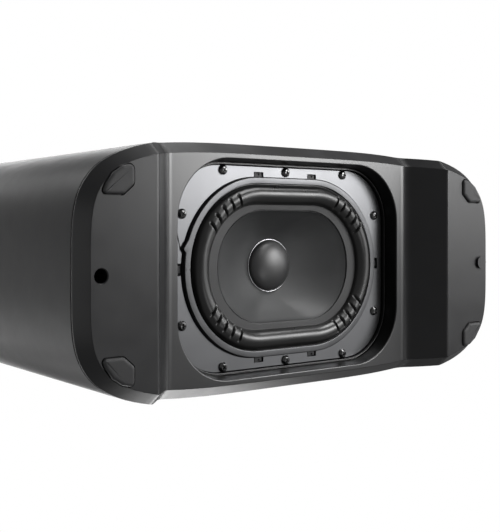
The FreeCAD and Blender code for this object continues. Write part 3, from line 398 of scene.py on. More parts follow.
def soften(path, radius, steps=4):
    """Rounds the inner corners of an open section path of (inset, level) points."""
    path = [np.array(point, float) for point in path]
    result = [path[0]]
    for index, corner in enumerate(path[1:-1], 1):
        before = path[index - 1] - corner
        after = path[index + 1] - corner
        long_before = np.linalg.norm(before)
        long_after = np.linalg.norm(after)
        cosine = np.clip(before @ after / (long_before * long_after), -1, 1)
        opening = math.acos(cosine)
        if opening > NEARLY_STRAIGHT:
            result.append(corner)
            continue
        trim = min(radius / math.tan(opening / 2), 0.45 * long_before, 0.45 * long_after)
        start = corner + before / long_before * trim
        end = corner + after / long_after * trim
        bend = trim * math.tan(opening / 2)
        middle = (before / long_before + after / long_after)
        middle = corner + middle / np.linalg.norm(middle) * (bend / math.sin(opening / 2))
        first = math.atan2(*(start - middle)[::-1])
        turn = math.atan2(*(end - middle)[::-1]) - first
        turn = (turn + math.pi) % (2 * math.pi) - math.pi
        for share in np.linspace(0, 1, steps + 1):
            angle = first + turn * share
            result.append(middle + bend * np.array([math.cos(angle), math.sin(angle)]))
    return [tuple(point) for point in result + [path[-1]]]


def prism(name, size, low, high, steps=(16, 10)):
    """A solid rounded rectangle between two levels."""
    rings = [rounded_ring(*size, level, *steps) for level in (low, high)]
    return closed_rings(name, rings, section_closed=False)


def turned(name, section, sides, centre=(0, 0), closed=True):
    """A closed section of (radius, level) turned about an upright axis."""
    angles = np.linspace(0, 2 * math.pi, sides, endpoint=False)
    rings = []
    for radius, level in section:
        radius = max(radius, 1e-4)
        rings.append(np.column_stack([centre[0] + radius * np.cos(angles),
                                      centre[1] + radius * np.sin(angles),
                                      np.full(sides, level)]))
    return closed_rings(name, rings, section_closed=closed)


def rod(name, radius, low, high, x, y=0.0, sides=32):
    return turned(name, [(radius, low), (radius, high)], sides, (x, y), closed=False)


def turn_to_back(piece):
    """Lays a piece made about +Z so that its +Z points out of the back, along +Y."""
    piece.data.transform(Matrix(((-1, 0, 0, 0), (0, 0, 1, 0), (0, 1, 0, 0), (0, 0, 0, 1))))


# ------------------------------------------------------------------ cabinet outline

def outline(turns, inset):
    """Points of the cabinet's outline, moved inwards along its normal."""
    angle = np.arctan2(HALF_DEPTH * np.sin(turns), HALF_WIDTH * np.cos(turns))
    cosine = np.abs(np.cos(angle))
    sine = np.abs(np.sin(angle))
    distance = ((cosine / HALF_WIDTH) ** POWER + (sine / HALF_DEPTH) ** POWER) ** (-1 / POWER)
    x = distance * cosine
    y = distance * sine
    slope_x = (x / HALF_WIDTH) ** (POWER - 1) / HALF_WIDTH
    slope_y = (y / HALF_DEPTH) ** (POWER - 1) / HALF_DEPTH
    steep = np.hypot(slope_x, slope_y)
    return x - inset * slope_x / steep, y - inset * slope_y / steep


def underside(x):
    """Height of the underside at x: block, rounded crease, wall, fillet and roof."""
    x = np.abs(x)
    tilt = math.atan2(FLOOR - FACE, BLOCK_EDGE - CHANNEL_HALF)
    level = np.interp(x, [CHANNEL_HALF, BLOCK_EDGE], [FLOOR, FACE])
    crease = BLOCK_EDGE + CREASE_RADIUS * math.tan(tilt / 2)
    on_crease = (x < crease) & (x > crease - CREASE_RADIUS * math.sin(tilt))
    fall = np.sqrt(np.maximum(CREASE_RADIUS ** 2 - (crease - x) ** 2, 0))
    level = np.where(on_crease, FACE + CREASE_RADIUS - fall, level)
    fillet = CHANNEL_HALF - FILLET_RADIUS * math.tan(tilt / 2)
    on_fillet = (x > fillet) & (x < fillet + FILLET_RADIUS * math.sin(tilt))
    rise = np.sqrt(np.maximum(FILLET_RADIUS ** 2 - (x - fillet) ** 2, 0))
    return np.where(on_fillet, FLOOR - FILLET_RADIUS + rise, level)


def outline_turns():
    """Where the outline is sampled: closely at creases and fillets, evenly elsewhere."""
    fine = np.linspace(0, math.pi / 2, 6001)
    x, y = outline(fine, BEVEL_INSET)
    stations = np.concatenate([np.linspace(148.5, 141.5, 22), np.linspace(138, 129, 4),
                               np.linspace(127.5, 114, 22), np.linspace(108, 0, 13)])
    middle = np.interp(-stations, -x, fine)
    ends = np.linspace(0, middle[0], 27)[:-1]
    return np.concatenate([ends, middle])


TURNS = outline_turns()


def outline_ring(inset, level, follow=False):
    """The outline at a level; with follow, the level is counted from the underside."""
    x, y = outline(TURNS, inset)
    y[0] = 0.0
    x[-1] = 0.0
    ring_x = np.concatenate([x, -x[-2::-1], -x[1:], x[-2:0:-1]])
    ring_y = np.concatenate([y, y[-2::-1], -y[1:], -y[-2:0:-1]])
    height = underside(ring_x) + level if follow else np.full(len(ring_x), level)
    return np.column_stack([ring_x, ring_y, height])


def strip_faces(start, count, flip=False):
    """Faces across a ring, from each point of its rear half to the one opposite."""
    faces = []
    half = count // 2
    for index in range(half):
        ring = [index, index + 1, count - index - 1, (count - index) % count]
        ring = [start + value for value in dict.fromkeys(ring)]
        faces.append(tuple(reversed(ring)) if flip else tuple(ring))
    return faces


def ring_faces(start, count, rows):
    faces = []
    for row in range(rows - 1):
        here = start + row * count
        for index in range(count):
            after = (index + 1) % count
            faces.append((here + index, here + after, here + count + after, here + count + index))
    return faces


def moulding(name, rings):
    """A closed shell whose first and last rings are closed by strips that follow the outline."""
    count = len(rings[0])
    faces = ring_faces(0, count, len(rings))
    faces += strip_faces(0, count)
    faces += strip_faces((len(rings) - 1) * count, count, flip=True)
    piece = mesh_piece(name, np.concatenate(rings), faces)
    fix_normals(piece)
    return piece


# ------------------------------------------------------------------ cabinet

RECESS = (111.2, 82.0, 46.0)
RECESS_TAPER = 2.0
RECESS_FLARE = 1.2
RECESS_STEPS = (18, 12)
HOUSING_WALL = 3.6
STEP_LEVEL = 42.0
STEP_INSET = 3.4
STEP_RISE = 0.6
LEDGE_LEVEL = reach("driver_gasket", 2)
LEDGE_TOP = LEDGE_LEVEL + 4.0
LEDGE_OPENING = (96.0, 68.0, 67.0)
WELL_X = 187.2
WELL_RADIUS = 4.7
WELL_TOP = FACE + 31.0
FOOT_SEAT = FACE + 2.4
FOOT_ROUND = 3.6
PANEL = (reach("amp_panel", 0), reach("amp_panel", 2) - PANEL_CENTRE, 8.0)
PANEL_FRAME = (68.0, 94.0, 10.0)
PANEL_LAP = 8.0
PANEL_STACK = 4.0
FOOT_NODES = ["foot_front_left", "foot_front_right", "foot_rear_left", "foot_rear_right"]


def plate_screw_places():
    rows = [(0.0, 74.5), (61.4, 74.5), (98.3, 41.0)]
    return [(sx * x, sy * y) for x, y in rows for sx in ((1, -1) if x else (1,)) for sy in (1, -1)]


def inset_size(size, inset):
    return tuple(value - inset for value in size)


def recess_cutter():
    """The driver recess: rounded mouth, tapered wall, step and the driver's opening."""
    lead_in = [(-RECESS_FLARE, FLOOR - 3), (-RECESS_FLARE, FLOOR - 0.001)]
    groove = STEP_LEVEL + STEP_RISE
    bead_level = STEP_LEVEL - 0.2
    wall = soften([(-2 * RECESS_FLARE, FLOOR), (0.0, FLOOR), (RECESS_TAPER, groove),
                   (RECESS_TAPER + 0.35, groove)], 1.1, 5)
    bead = soften([(RECESS_TAPER + 0.35, groove), (RECESS_TAPER + 0.5, bead_level),
                   (STEP_INSET, bead_level), (STEP_INSET, LEDGE_LEVEL)], 0.35)
    path = lead_in + wall[1:] + bead[1:]
    rings = [rounded_ring(*inset_size(RECESS, inset), level, *RECESS_STEPS)
             for inset, level in path]
    cutter = closed_rings("recess_cutter", rings, section_closed=False)
    opening = prism("opening_cutter", LEDGE_OPENING, LEDGE_LEVEL - 2, LEDGE_TOP + 5)
    return [cutter, opening]


def polygon_ring(points, radius, grow, level):
    """A polygon with rounded corners, grown outwards, as a ring at a level."""
    points = [np.array(p, float) for p in points]
    area = sum(a[0] * b[1] - b[0] * a[1] for a, b in zip(points, points[1:] + points[:1]))
    if area < 0:
        points = points[::-1]
    ring = []
    for before, corner, after in zip(points[-1:] + points[:-1], points, points[1:] + points[:1]):
        arriving = (corner - before) / np.linalg.norm(corner - before)
        leaving = (after - corner) / np.linalg.norm(after - corner)
        turn = math.atan2(arriving[0] * leaving[1] - arriving[1] * leaving[0], arriving @ leaving)
        trim = min(abs(radius * math.tan(turn / 2)), 0.48 * np.linalg.norm(corner - before),
                   0.48 * np.linalg.norm(after - corner))
        bend = trim / max(math.tan(abs(turn) / 2), 1e-6)
        start = corner - arriving * trim
        normal = np.array([-arriving[1], arriving[0]])
        centre = start + normal * bend
        first = math.atan2(*(start - centre)[::-1])
        for share in np.linspace(0, 1, 6):
            angle = first + turn * share
            spoke = np.array([math.cos(angle), math.sin(angle)])
            ring.append([*(centre + (bend + grow) * spoke), level])
    return np.array(ring)


FOOT_CORNERS = [(163.4, 73.2), (163.4, 59.4), (171.4, 52.5), (187.6, 52.5), (184.6, 59.4),
                (179.3, 66.2), (172.2, 70.9)]


def foot_ring(side_x, side_y, grow, level):
    points = [(side_x * x, side_y * y) for x, y in FOOT_CORNERS]
    return polygon_ring(points, FOOT_ROUND, grow, level)


def make_base():
    """The underside: foot blocks, channel, bevelled edge, tongue, recess, wells and foot seats."""
    bevel = soften([(BEVEL_INSET + 3, 0), (BEVEL_INSET, 0), (0, BEVEL_RISE),
                    (0, BEVEL_RISE + LIP), (2, BEVEL_RISE + LIP)], EDGE_ROUND)
    inner = [(TONGUE_INSET, BEVEL_RISE + LIP), (TONGUE_INSET, TONGUE_HEIGHT),
             (TONGUE_INSET + TONGUE_WALL, TONGUE_HEIGHT), (TONGUE_INSET + TONGUE_WALL, SKIN)]
    path = bevel + inner
    piece = moulding("base_moulding", [outline_ring(inset, level, True) for inset, level in path])
    adds = [prism("housing", inset_size(RECESS, -HOUSING_WALL), FLOOR + 1.0, LEDGE_TOP,
                  RECESS_STEPS)]
    cuts = recess_cutter()
    for side_x in (-1, 1):
        x = side_x * WELL_X
        adds.append(rod("well_boss", WELL_RADIUS + 2.6, FACE + 1.0, WELL_TOP + 3, x))
        well = [(WELL_RADIUS + EDGE_ROUND, FACE - 2), (WELL_RADIUS + EDGE_ROUND, FACE - 0.01),
                (WELL_RADIUS, FACE + EDGE_ROUND), (WELL_RADIUS, WELL_TOP)]
        cuts.append(turned("well", well, 40, (x, 0), closed=False))
        for side_y in (-1, 1):
            rings = [foot_ring(side_x, side_y, 0.8, level) for level in (FACE - 2, FOOT_SEAT)]
            cuts.append(closed_rings("foot_seat", rings, section_closed=False))
    combine(piece, adds, "UNION")
    combine(piece, cuts, "DIFFERENCE")
    finish_piece(piece, "base_plastic", replaces=["base"])
    paint_recess(piece)
    return piece


def paint_recess(piece):
    """The channel's roof is smoother than the blocks and gets a lighter, more reflective copy of
    their plastic, a painted sheen; the wall of the recess gets a darker, less reflective copy,
    painted shade.
    """
    mesh = piece.data
    mesh.materials.append(MATERIALS["channel_satin"])
    mesh.materials.append(MATERIALS["recess_gloss"])
    half_x, half_y, corner = RECESS
    for face in mesh.polygons:
        x, y, z = face.center / MM
        inside = abs(x) < half_x + 0.2 and abs(y) < half_y + 0.2
        # Painted shade: the recess wall gets the darker, less reflective copy of the base plastic.
        if inside and FLOOR + 0.9 < z < LEDGE_LEVEL and abs(face.normal.z) < 0.7:
            face.material_index = 2
        # Painted sheen: the channel roof gets the lighter, more reflective copy of the base
        # plastic.
        elif abs(x) < CHANNEL_HALF - 3 and z > FLOOR - 2 and face.normal.z < -0.9:
            face.material_index = 1


def make_shell():
    """The tower wall, its lower edge parallel to the underside, and the amplifier's seat."""
    low = BEVEL_RISE + LIP + SHADOW_GAP
    top = reach("cabinet_shell", 2)
    lower = soften([(WALL, low + 1), (WALL, low), (0, low), (0, low + 2)], WALL_ROUND)
    upper = soften([(0, top - 2), (0, top), (WALL, top), (WALL, top - 2)], WALL_ROUND)
    rings = [outline_ring(inset, level, True) for inset, level in lower]
    rings += [outline_ring(inset, level) for inset, level in upper]
    piece = closed_rings("cabinet_wrap", rings)
    seat = PANEL_FACE - PANEL_STACK
    behind = (PANEL[0] - PANEL_LAP, PANEL[1] - PANEL_LAP, 4.0)
    adds = [back_prism("panel_frame", PANEL_FRAME, seat - 9.0, HALF_DEPTH - WALL / 2)]
    cuts = [back_prism("seat_cutter", inset_size(PANEL, -0.4), seat, HALF_DEPTH + 10),
            back_prism("opening_cutter", behind, seat - 20.0, seat + 5)]
    combine(piece, adds, "UNION")
    combine(piece, cuts, "DIFFERENCE")
    return finish_piece(piece, "shell_plastic", replaces=["cabinet_shell"])


def back_prism(name, size, low, high):
    """A rounded rectangle round the amplifier panel's middle, between two depths."""
    piece = prism(name, size, low, high, (8, 6))
    turn_to_back(piece)
    piece.data.transform(Matrix.Translation((0, 0, PANEL_CENTRE * MM)))
    fix_normals(piece)
    return piece


def make_cap():
    """The closed top, bevelled like the underside."""
    low = reach("cabinet_shell", 2) + SHADOW_GAP
    tongue = reach("top_cap", 2, 0)
    path = [(TONGUE_INSET + TONGUE_WALL, TOWER_TOP - SKIN), (TONGUE_INSET + TONGUE_WALL, tongue),
            (TONGUE_INSET, tongue), (TONGUE_INSET, low)]
    bevel = soften([(2, low), (0, low), (0, TOWER_TOP - BEVEL_RISE), (BEVEL_INSET, TOWER_TOP),
                    (BEVEL_INSET + 3, TOWER_TOP)], EDGE_ROUND)
    piece = moulding("cap_moulding", [outline_ring(inset, level) for inset, level in path + bevel])
    return finish_piece(piece, "shell_plastic", replaces=["top_cap"])


def make_foot(node):
    """A soft rubber pad, slightly domed, in its seat."""
    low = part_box(node)[0]
    side_x = 1 if low.x > 0 else -1
    side_y = 1 if low.y > 0 else -1
    profile = [(0.0, FOOT_SEAT), (0.0, 1.6), (-0.3, 0.8), (-0.9, 0.3), (-1.8, 0.05), (-2.6, 0.0)]
    rings = [foot_ring(side_x, side_y, grow, level) for grow, level in profile]
    piece = closed_rings(node.replace("foot", "pad"), rings, section_closed=False)
    return finish_piece(piece, "foot_rubber", replaces=[node])


# ------------------------------------------------------------------ screws

# The radius and height of a head, and the radius and length of its shank.
PLATE_SCREW = (3.8, 2.6, 1.7, 14.0)
BASE_SCREW = (3.9, 2.4, 1.7, 18.0)
PANEL_SCREW = (3.2, 1.9, 1.65, 11.0)
THREAD_PITCH = 1.4
THREAD_DEPTH = 0.35
PANEL_SCREW_MARGIN = 5.0


def pan_head(radius, height, shank, length):
    """A cross-recess screw: head below z = 0, threaded shank above."""
    section = soften([(0.0, -height), (radius * 0.62, -height * 0.94), (radius, -height * 0.35),
                      (radius, 0.0), (shank, 0.0)], EDGE_ROUND)
    level = 1.0
    while level < length - 3:
        section += [(shank, level), (shank - THREAD_DEPTH, level + THREAD_PITCH / 2)]
        level += THREAD_PITCH
    section += [(shank, length - 2.0), (0.0, length)]
    piece = turned("screw", section, 40, closed=False)
    arm = radius * 0.56
    wide = radius * 0.15
    cross = [(arm, wide, -height - 1), (arm, wide, -height * 0.97),
             (arm * 0.35, wide * 0.6, -height * 0.25)]
    tools = []
    for angle in (0.0, math.pi / 2):
        cosine = math.cos(angle)
        sine = math.sin(angle)
        spin = np.array([[cosine, -sine, 0], [sine, cosine, 0], [0, 0, 1]])
        rings = []
        for along, half, level in cross:
            ring = np.array([[along, half, level], [-along, half, level], [-along, -half, level],
                             [along, -half, level]])
            rings.append(ring @ spin.T)
        tools.append(closed_rings("cross", rings, section_closed=False))
    combine(piece, tools, "DIFFERENCE")
    return piece


def place_screws(master, places, node, label, turns):
    """Copies of one screw; each is turned a little differently."""
    for index, (place, spin) in enumerate(zip(places, turns)):
        mesh = master.data.copy()
        mesh.transform(Matrix.Translation(Vector(place) * MM) @ spin)
        screw = link("%s_%02d" % (label, index), mesh)
        finish_piece(screw, "black_steel", replaces=[node])
    bpy.data.objects.remove(master)


def make_screws():
    """The plate's ten screws, the two in the wells and the panel's eight."""
    chance = random.Random(7)

    def spins(places, facing=Matrix.Identity(4)):
        return [facing @ Matrix.Rotation(math.radians(chance.uniform(0, 90)), 4, "Z")
                for place in places]

    places = [(x, y, PLATE_LEVEL) for x, y in plate_screw_places()]
    place_screws(pan_head(*PLATE_SCREW), places, "plate_screws", "plate_screw", spins(places))
    places = [(sx * WELL_X, 0.0, WELL_TOP) for sx in (-1, 1)]
    place_screws(pan_head(*BASE_SCREW), places, "base_screws", "base_screw", spins(places))
    across, upright = (half - PANEL_SCREW_MARGIN for half in PANEL[:2])
    places = [(sx * across, PANEL_FACE, PANEL_CENTRE + share * upright)
              for sx in (-1, 1) for share in (-1, -1 / 3, 1 / 3, 1)]
    facing = Matrix.Rotation(math.radians(90), 4, "X")
    place_screws(pan_head(*PANEL_SCREW), places, "panel_screws", "panel_screw",
                 spins(places, facing))


# ------------------------------------------------------------------ driver

FLANGE = (97.0, 69.6, 69.0)
ROLL = (91.5, 64.5, 63.5)
ROLL_WIDTH = 16.0
ROLL_TOP = 45.3
RUBBER = 0.8
OUTER_LIP = 3.6
SEAM = (66.5, 44.5, 43.5)
PLATE = inset_size(RECESS, STEP_INSET + 0.4)
PLATE_OPENING = (FLANGE[0] + 1.9, FLANGE[1] + 0.3, FLANGE[2] + 0.3)
PLATE_EDGE = 0.35
RIM_HEIGHT = 2.0
RIM_STEPS = (72, 24)
ROLL_STEPS = (140, 20)
CONE_STEPS = (24, 12)
NOTCH_X = (-27.0, 27.6)
NOTCH_Y = 71.0
END_NOTCH_X = 99.0
CLIP_LEVEL = PLATE_LEVEL + 0.9
CLIP_TOP = PLATE_TOP - 0.3
JOINT_LINES = [(-108.0, -100.5, -16.6), (99.5, 108.0, 14.5), (101.0, 108.0, 17.9)]
TAB_Y = -15.0
TAB_LEANS = (7.0, 2.6)


def pull_tab(ring, reach_out):
    """Draws a ring's left end out into the small pointed tab that locates the rim."""
    lean = np.where(ring[:, 1] < TAB_Y, *TAB_LEANS)
    peak = np.clip(1 - np.abs(ring[:, 1] - TAB_Y) / lean, 0, 1)
    ring[:, 0] -= np.where(ring[:, 0] < 0, peak * reach_out, 0)
    return ring


def make_plate():
    """The flat metal plate: soft edges, screw holes, clip notches and joint lines."""
    soft_level = PLATE_LEVEL + PLATE_EDGE
    outer = [(0.0, PLATE_TOP), (0.0, soft_level), (PLATE_EDGE, PLATE_LEVEL)]
    inner = [(-PLATE_EDGE, PLATE_LEVEL), (0.0, soft_level), (0.0, PLATE_TOP)]
    rings = [rounded_ring(*inset_size(PLATE, inset), level, *RIM_STEPS) for inset, level in outer]
    rings += [pull_tab(rounded_ring(*inset_size(PLATE_OPENING, inset), level, *RIM_STEPS), 3.0)
              for inset, level in inner]
    piece = closed_rings("driver_face_plate", rings)
    below = PLATE_LEVEL - 1
    above = PLATE_TOP + 1
    cuts = [rod("hole", 1.9, below, above, x, y, 20) for x, y in plate_screw_places()]
    for x in NOTCH_X:
        for y in (-NOTCH_Y, NOTCH_Y):
            cuts.append(block_piece("notch", (x - 4.7, y - 3.0, below), (x + 4.7, y + 3.0, above)))
    for low_x, high_x, y in JOINT_LINES:
        cuts.append(block_piece("joint_line", (low_x, y - 0.25, below),
                                (high_x, y + 0.25, PLATE_LEVEL + 0.5)))
    for x in (-END_NOTCH_X, END_NOTCH_X):
        cuts.append(block_piece("notch", (x - 3.6, -4.6, below), (x + 3.6, 4.6, above)))
    combine(piece, cuts, "DIFFERENCE")
    return finish_piece(piece, "plate_steel", replaces=["driver_plate"])


def block_piece(name, low, high):
    """A plain closed block between two corners, used as a tool."""
    corners = [(low[0], low[1]), (high[0], low[1]), (high[0], high[1]), (low[0], high[1])]
    rings = [[(x, y, level) for x, y in corners] for level in (low[2], high[2])]
    return closed_rings(name, rings, section_closed=False)


def make_clips():
    """The rim's clips, which show in the plate's notches."""
    for index, (x, side) in enumerate((x, side) for x in NOTCH_X for side in (-1, 1)):
        y = side * 71.6
        slot_y = side * 72.2
        piece = block_piece("rim_clip_%02d" % index, (x - 3.3, y - 1.5, CLIP_LEVEL),
                            (x + 3.5, y + 1.5, CLIP_TOP))
        slot = block_piece("clip_slot", (x - 1.6, slot_y - 0.7, CLIP_LEVEL - 1),
                           (x + 1.4, slot_y + 0.7, CLIP_LEVEL + 0.9))
        combine(piece, [slot], "DIFFERENCE")
        finish_clip(piece, 0.3)
    for index, x in enumerate((-100.3, 100.3)):
        piece = block_piece("end_clip_%02d" % index, (x - 1.3, -2.7, CLIP_LEVEL),
                            (x + 1.3, 2.7, CLIP_TOP))
        finish_clip(piece, 0.4)


def finish_clip(piece, edge):
    """A clip's soft edges, its material and its slot."""
    bevel_edges(piece, edge)
    finish_piece(piece, "panel_plastic")


def bevel_edges(piece, width):
    """Rounds a piece's sharp edges, width in millimetres."""
    modifier = piece.modifiers.new("edges", "BEVEL")
    modifier.width = width * MM
    modifier.segments = 3
    modifier.limit_method = "ANGLE"
    apply_modifiers(piece)


def make_trim():
    """The raised rim of the driver, with a rounded face and its tab."""
    opening = inset_size(ROLL, -0.4)
    outer = [(0.0, RIM_HEIGHT), (0.0, 0.5), (0.15, 0.15), (0.5, 0.0)]
    inner = [(-0.6, 0.0), (-0.2, 0.2), (0.0, 0.7), (0.0, RIM_HEIGHT)]
    rings = [pull_tab(rounded_ring(*inset_size(FLANGE, inset), RING_LEVEL + rise, *RIM_STEPS), 2.8)
             for inset, rise in outer]
    rings += [rounded_ring(*inset_size(opening, inset), RING_LEVEL + rise, *RIM_STEPS)
              for inset, rise in inner]
    piece = closed_rings("driver_rim", rings)
    return finish_piece(piece, "trim_plastic", replaces=["trim_ring"])


FLUTES = 5
FLUTE_MIDDLE = 50.0
FLUTE_STEP = 8.4
FLUTE_WIDTH = 0.80
FLUTE_DEPTH = 3.0
FLUTE_LEAN = 0.28
FLUTE_ROOT = 64.5
FLUTE_SPAN = (0.30, 0.84)


def roll_ring(share, side):
    """One ring of the half roll; share runs from the outer edge to the inner one.

    side is +1 for the visible face and -1 for the inner face of the rubber. The flutes are
    narrow slits over the crest at each corner, fanned a little less than the corner turns."""
    bend = ROLL_WIDTH / 2
    radius = bend if side > 0 else bend - RUBBER
    angle = math.pi * share
    inset = bend - radius * math.cos(angle)
    ring = rounded_ring(*inset_size(ROLL, inset), ROLL_TOP - radius * math.sin(angle), *ROLL_STEPS)
    centre = np.array([ROLL[0] - ROLL[2], ROLL[1] - ROLL[2]])
    away = np.maximum(np.abs(ring[:, :2]) - centre, 0)
    distance = np.maximum(np.hypot(away[:, 0], away[:, 1]), 1e-6)
    outward = away / distance[:, None] * np.sign(ring[:, :2])
    heading = np.degrees(np.arctan2(away[:, 1], away[:, 0]))
    cut = np.zeros(len(ring))
    for flute in range(FLUTES):
        middle = FLUTE_MIDDLE + (flute - (FLUTES - 1) / 2) * FLUTE_STEP
        middle += FLUTE_LEAN * (middle - FLUTE_ROOT) * (share - 0.5)
        cut = np.maximum(cut, np.clip(1.5 - np.abs(heading - middle) / FLUTE_WIDTH, 0, 1))
    first, last = FLUTE_SPAN
    along = np.clip((share - first) / 0.12, 0, 1) * np.clip((last - share) / 0.20, 0, 1)
    depth = FLUTE_DEPTH * cut * along
    ring[:, :2] -= (depth * math.cos(angle))[:, None] * outward
    ring[:, 2] += depth * math.sin(angle)
    return ring


def make_surround():
    """The rubber half roll with its fluted corners and its lip on the cone."""
    steps = 36
    outer_lip = inset_size(ROLL, -OUTER_LIP)
    top = ROLL_TOP
    rings = [rounded_ring(*outer_lip, level, *ROLL_STEPS) for level in (top, top - RUBBER)]
    rings += [roll_ring(share, 1) for share in np.linspace(0.06, 0.94, steps)]
    inner_lip = inset_size(ROLL, ROLL_WIDTH)
    rings += [rounded_ring(*inset_size(inner_lip, -0.15), top - 0.95, *ROLL_STEPS),
              rounded_ring(*inset_size(inner_lip, 0.9), top - RUBBER, *ROLL_STEPS)]
    rings += [rounded_ring(*inset_size(SEAM, inset), top - level, *ROLL_STEPS)
              for inset, level in ((-0.4, RUBBER), (0.0, RUBBER - 0.25), (0.0, 0.0))]
    rings += [rounded_ring(*inset_size(inner_lip, 0.9), top, *ROLL_STEPS)]
    rings += [roll_ring(share, -1) for share in np.linspace(0.98, 0.02, steps)]
    piece = closed_rings("surround_roll", rings)
    finish_piece(piece, "surround_rubber", body=None, replaces=["surround"], sharp=60.0)
    paint_lip(piece)
    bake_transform(piece)
    weigh_by_inset(piece)
    return piece


def inside_of(points, size):
    """How far points lie inside an oblong edge, in millimetres."""
    half_x, half_y, corner = size
    dx = np.abs(points[:, 0]) - (half_x - corner)
    dy = np.abs(points[:, 1]) - (half_y - corner)
    outside = np.hypot(np.maximum(dx, 0), np.maximum(dy, 0)) + np.minimum(np.maximum(dx, dy), 0)
    return corner - outside


def paint_lip(piece):
    """The lip glued on the cone is as matt and grey as the cone."""
    mesh = piece.data
    mesh.materials.append(MATERIALS["surround_lip"])
    centres = np.array([face.center[:] for face in mesh.polygons]) / MM
    for face, inset in zip(mesh.polygons, inside_of(centres, ROLL)):
        if inset > ROLL_WIDTH - 0.1:
            face.material_index = 1


def weigh_by_inset(piece):
    """Reads each point's place into an array; nothing is set from it."""
    count = len(piece.data.vertices)
    points = np.zeros(count * 3)
    piece.data.vertices.foreach_get("co", points)


def make_cone():
    """The oblong cone, with a curved flare between the seam and the neck."""
    neck = (19.6, 19.6, 19.5)
    thick = 0.8
    low = ROLL_TOP
    high = 67.0
    edge = inset_size(SEAM, 0.05)
    front = []
    for share in np.linspace(0, 1, 17):
        size = tuple(a * (1 - share) + b * share for a, b in zip(edge, neck))
        rise = share + 0.10 * math.sin(math.pi * share)
        front.append((size, low + (high - low) * rise))
    groove = [(edge, low + 0.5), (inset_size(SEAM, 0.5), low + 0.55)]
    front[0] = (inset_size(SEAM, 0.75), low + 0.1)
    rings = [rounded_ring(*size, level, *CONE_STEPS) for size, level in groove + front]
    rings += [rounded_ring(*size, level + thick, *CONE_STEPS) for size, level in reversed(front)]
    land = inset_size(ROLL, ROLL_WIDTH + 0.8)
    rings += [rounded_ring(*land, level, *CONE_STEPS) for level in (low + thick, low + 0.02)]
    piece = closed_rings("cone_shell", rings)
    return finish_piece(piece, "cone_pulp", body="cone_assembly", replaces=["cone"], sharp=40.0)


def make_dust_cap():
    """The domed cap and a pale bead round its edge, a painted highlight on the cap's rim."""
    radius = 20.8
    level = 66.0
    height = 8.0
    skin = 0.6
    section = [(radius * math.sin(angle), level - height * math.cos(angle))
               for angle in np.linspace(0, math.pi / 2, 24)]
    section += [((radius - skin) * math.sin(angle), level - (height - skin) * math.cos(angle))
                for angle in np.linspace(math.pi / 2, 0, 24)]
    piece = turned("dust_dome", section, 96)
    finish_piece(piece, "cap_film", body="cone_assembly", replaces=["dust_cap"])
    # The pale bead is a painted highlight round the cap's edge.
    thick = 0.45
    bead = [(radius + 0.35 + thick * math.cos(angle), level + 0.1 + thick * math.sin(angle))
            for angle in np.linspace(0, 2 * math.pi, 12, endpoint=False)]
    ring = turned("cap_bead", bead, 96)
    finish_piece(ring, "bead", body="cone_assembly")


def make_spider():
    """The corrugated cloth disc between the coil former and the basket."""
    inner = 19.27
    outer = reach("spider", 0)
    top = reach("spider", 2) - 0.5
    path = [(inner, top)]
    waves = 6
    for share in np.linspace(0, 1, waves * 10 + 1):
        drop = 1.3 * (1 - math.cos(2 * math.pi * waves * share))
        path.append((inner + 3 + (outer - 5 - inner - 3) * share, top - drop))
    path.append((outer, top))
    section = path + [(radius, level + 0.5) for radius, level in reversed(path)]
    piece = turned("spider_disc", section, 96)
    finish_piece(piece, "spider_cloth", body=None, replaces=["spider"], sharp=60.0)
    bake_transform(piece)
    weigh_by_inset(piece)
    return piece


# ------------------------------------------------------------------ what stays as the CAD made it

def dress_cad_nodes():
    """Every CAD node that still shows gets its slot's procedural material."""
    slots = {entry["node"]: entry["material_slot"] for entry in frame["record"]["subparts"]}
    for name, node in frame["nodes"].items():
        node.data.materials.clear()
        node.data.materials.append(MATERIALS[slots[name]])


# ------------------------------------------------------------------ studio

def add_light(name, place, aim, size, radiance):
    """A softbox seen only by the object; size is its width and height in metres."""
    data = bpy.data.lights.new(name, "AREA")
    data.shape = "RECTANGLE"
    data.size, data.size_y = size
    data.energy = radiance * math.pi * data.size * data.size_y
    lamp = bpy.data.objects.new(name, data)
    bpy.context.scene.collection.objects.link(lamp)
    away = (Vector(place) - Vector(aim)).normalized()
    up = Vector((0, -1, 0))
    up = (up - away * up.dot(away)).normalized()
    rotation = Matrix((up.cross(away), up, away)).transposed()
    lamp.matrix_world = Matrix.Translation(place) @ rotation.to_4x4()
    lamp.visible_camera = False


def add_underside_box(name, across, up, size, radiance):
    """A softbox under the tower: across leans it from straight below towards +X, up towards +Y."""
    across = math.radians(across)
    up = math.radians(up)
    sideways = math.cos(up)
    place = Vector((math.sin(across) * sideways, math.sin(up), -math.cos(across) * sideways))
    add_light(name, place * BOX_DISTANCE, (0, 0, 0.03), size, radiance)


WORLD_FILL = 0.20


def add_world():
    """White where the camera looks past the object, soft grey as a light."""
    world = bpy.data.worlds.new("studio")
    bpy.context.scene.world = world
    world.use_nodes = True
    tree = world.node_tree
    tree.nodes.clear()
    backdrop = tree.nodes.new("ShaderNodeBackground")
    backdrop.inputs["Strength"].default_value = 1.0
    backdrop.inputs["Color"].default_value = (1, 1, 1, 1)
    fill = tree.nodes.new("ShaderNodeBackground")
    fill.inputs["Strength"].default_value = WORLD_FILL
    fill.inputs["Color"].default_value = (1, 1, 1, 1)
    path = tree.nodes.new("ShaderNodeLightPath")
    mix = tree.nodes.new("ShaderNodeMixShader")
    output = tree.nodes.new("ShaderNodeOutputWorld")
    tree.links.new(path.outputs["Is Camera Ray"], mix.inputs["Fac"])
    tree.links.new(fill.outputs["Background"], mix.inputs[1])
    tree.links.new(backdrop.outputs["Background"], mix.inputs[2])
    tree.links.new(mix.outputs["Shader"], output.inputs["Surface"])


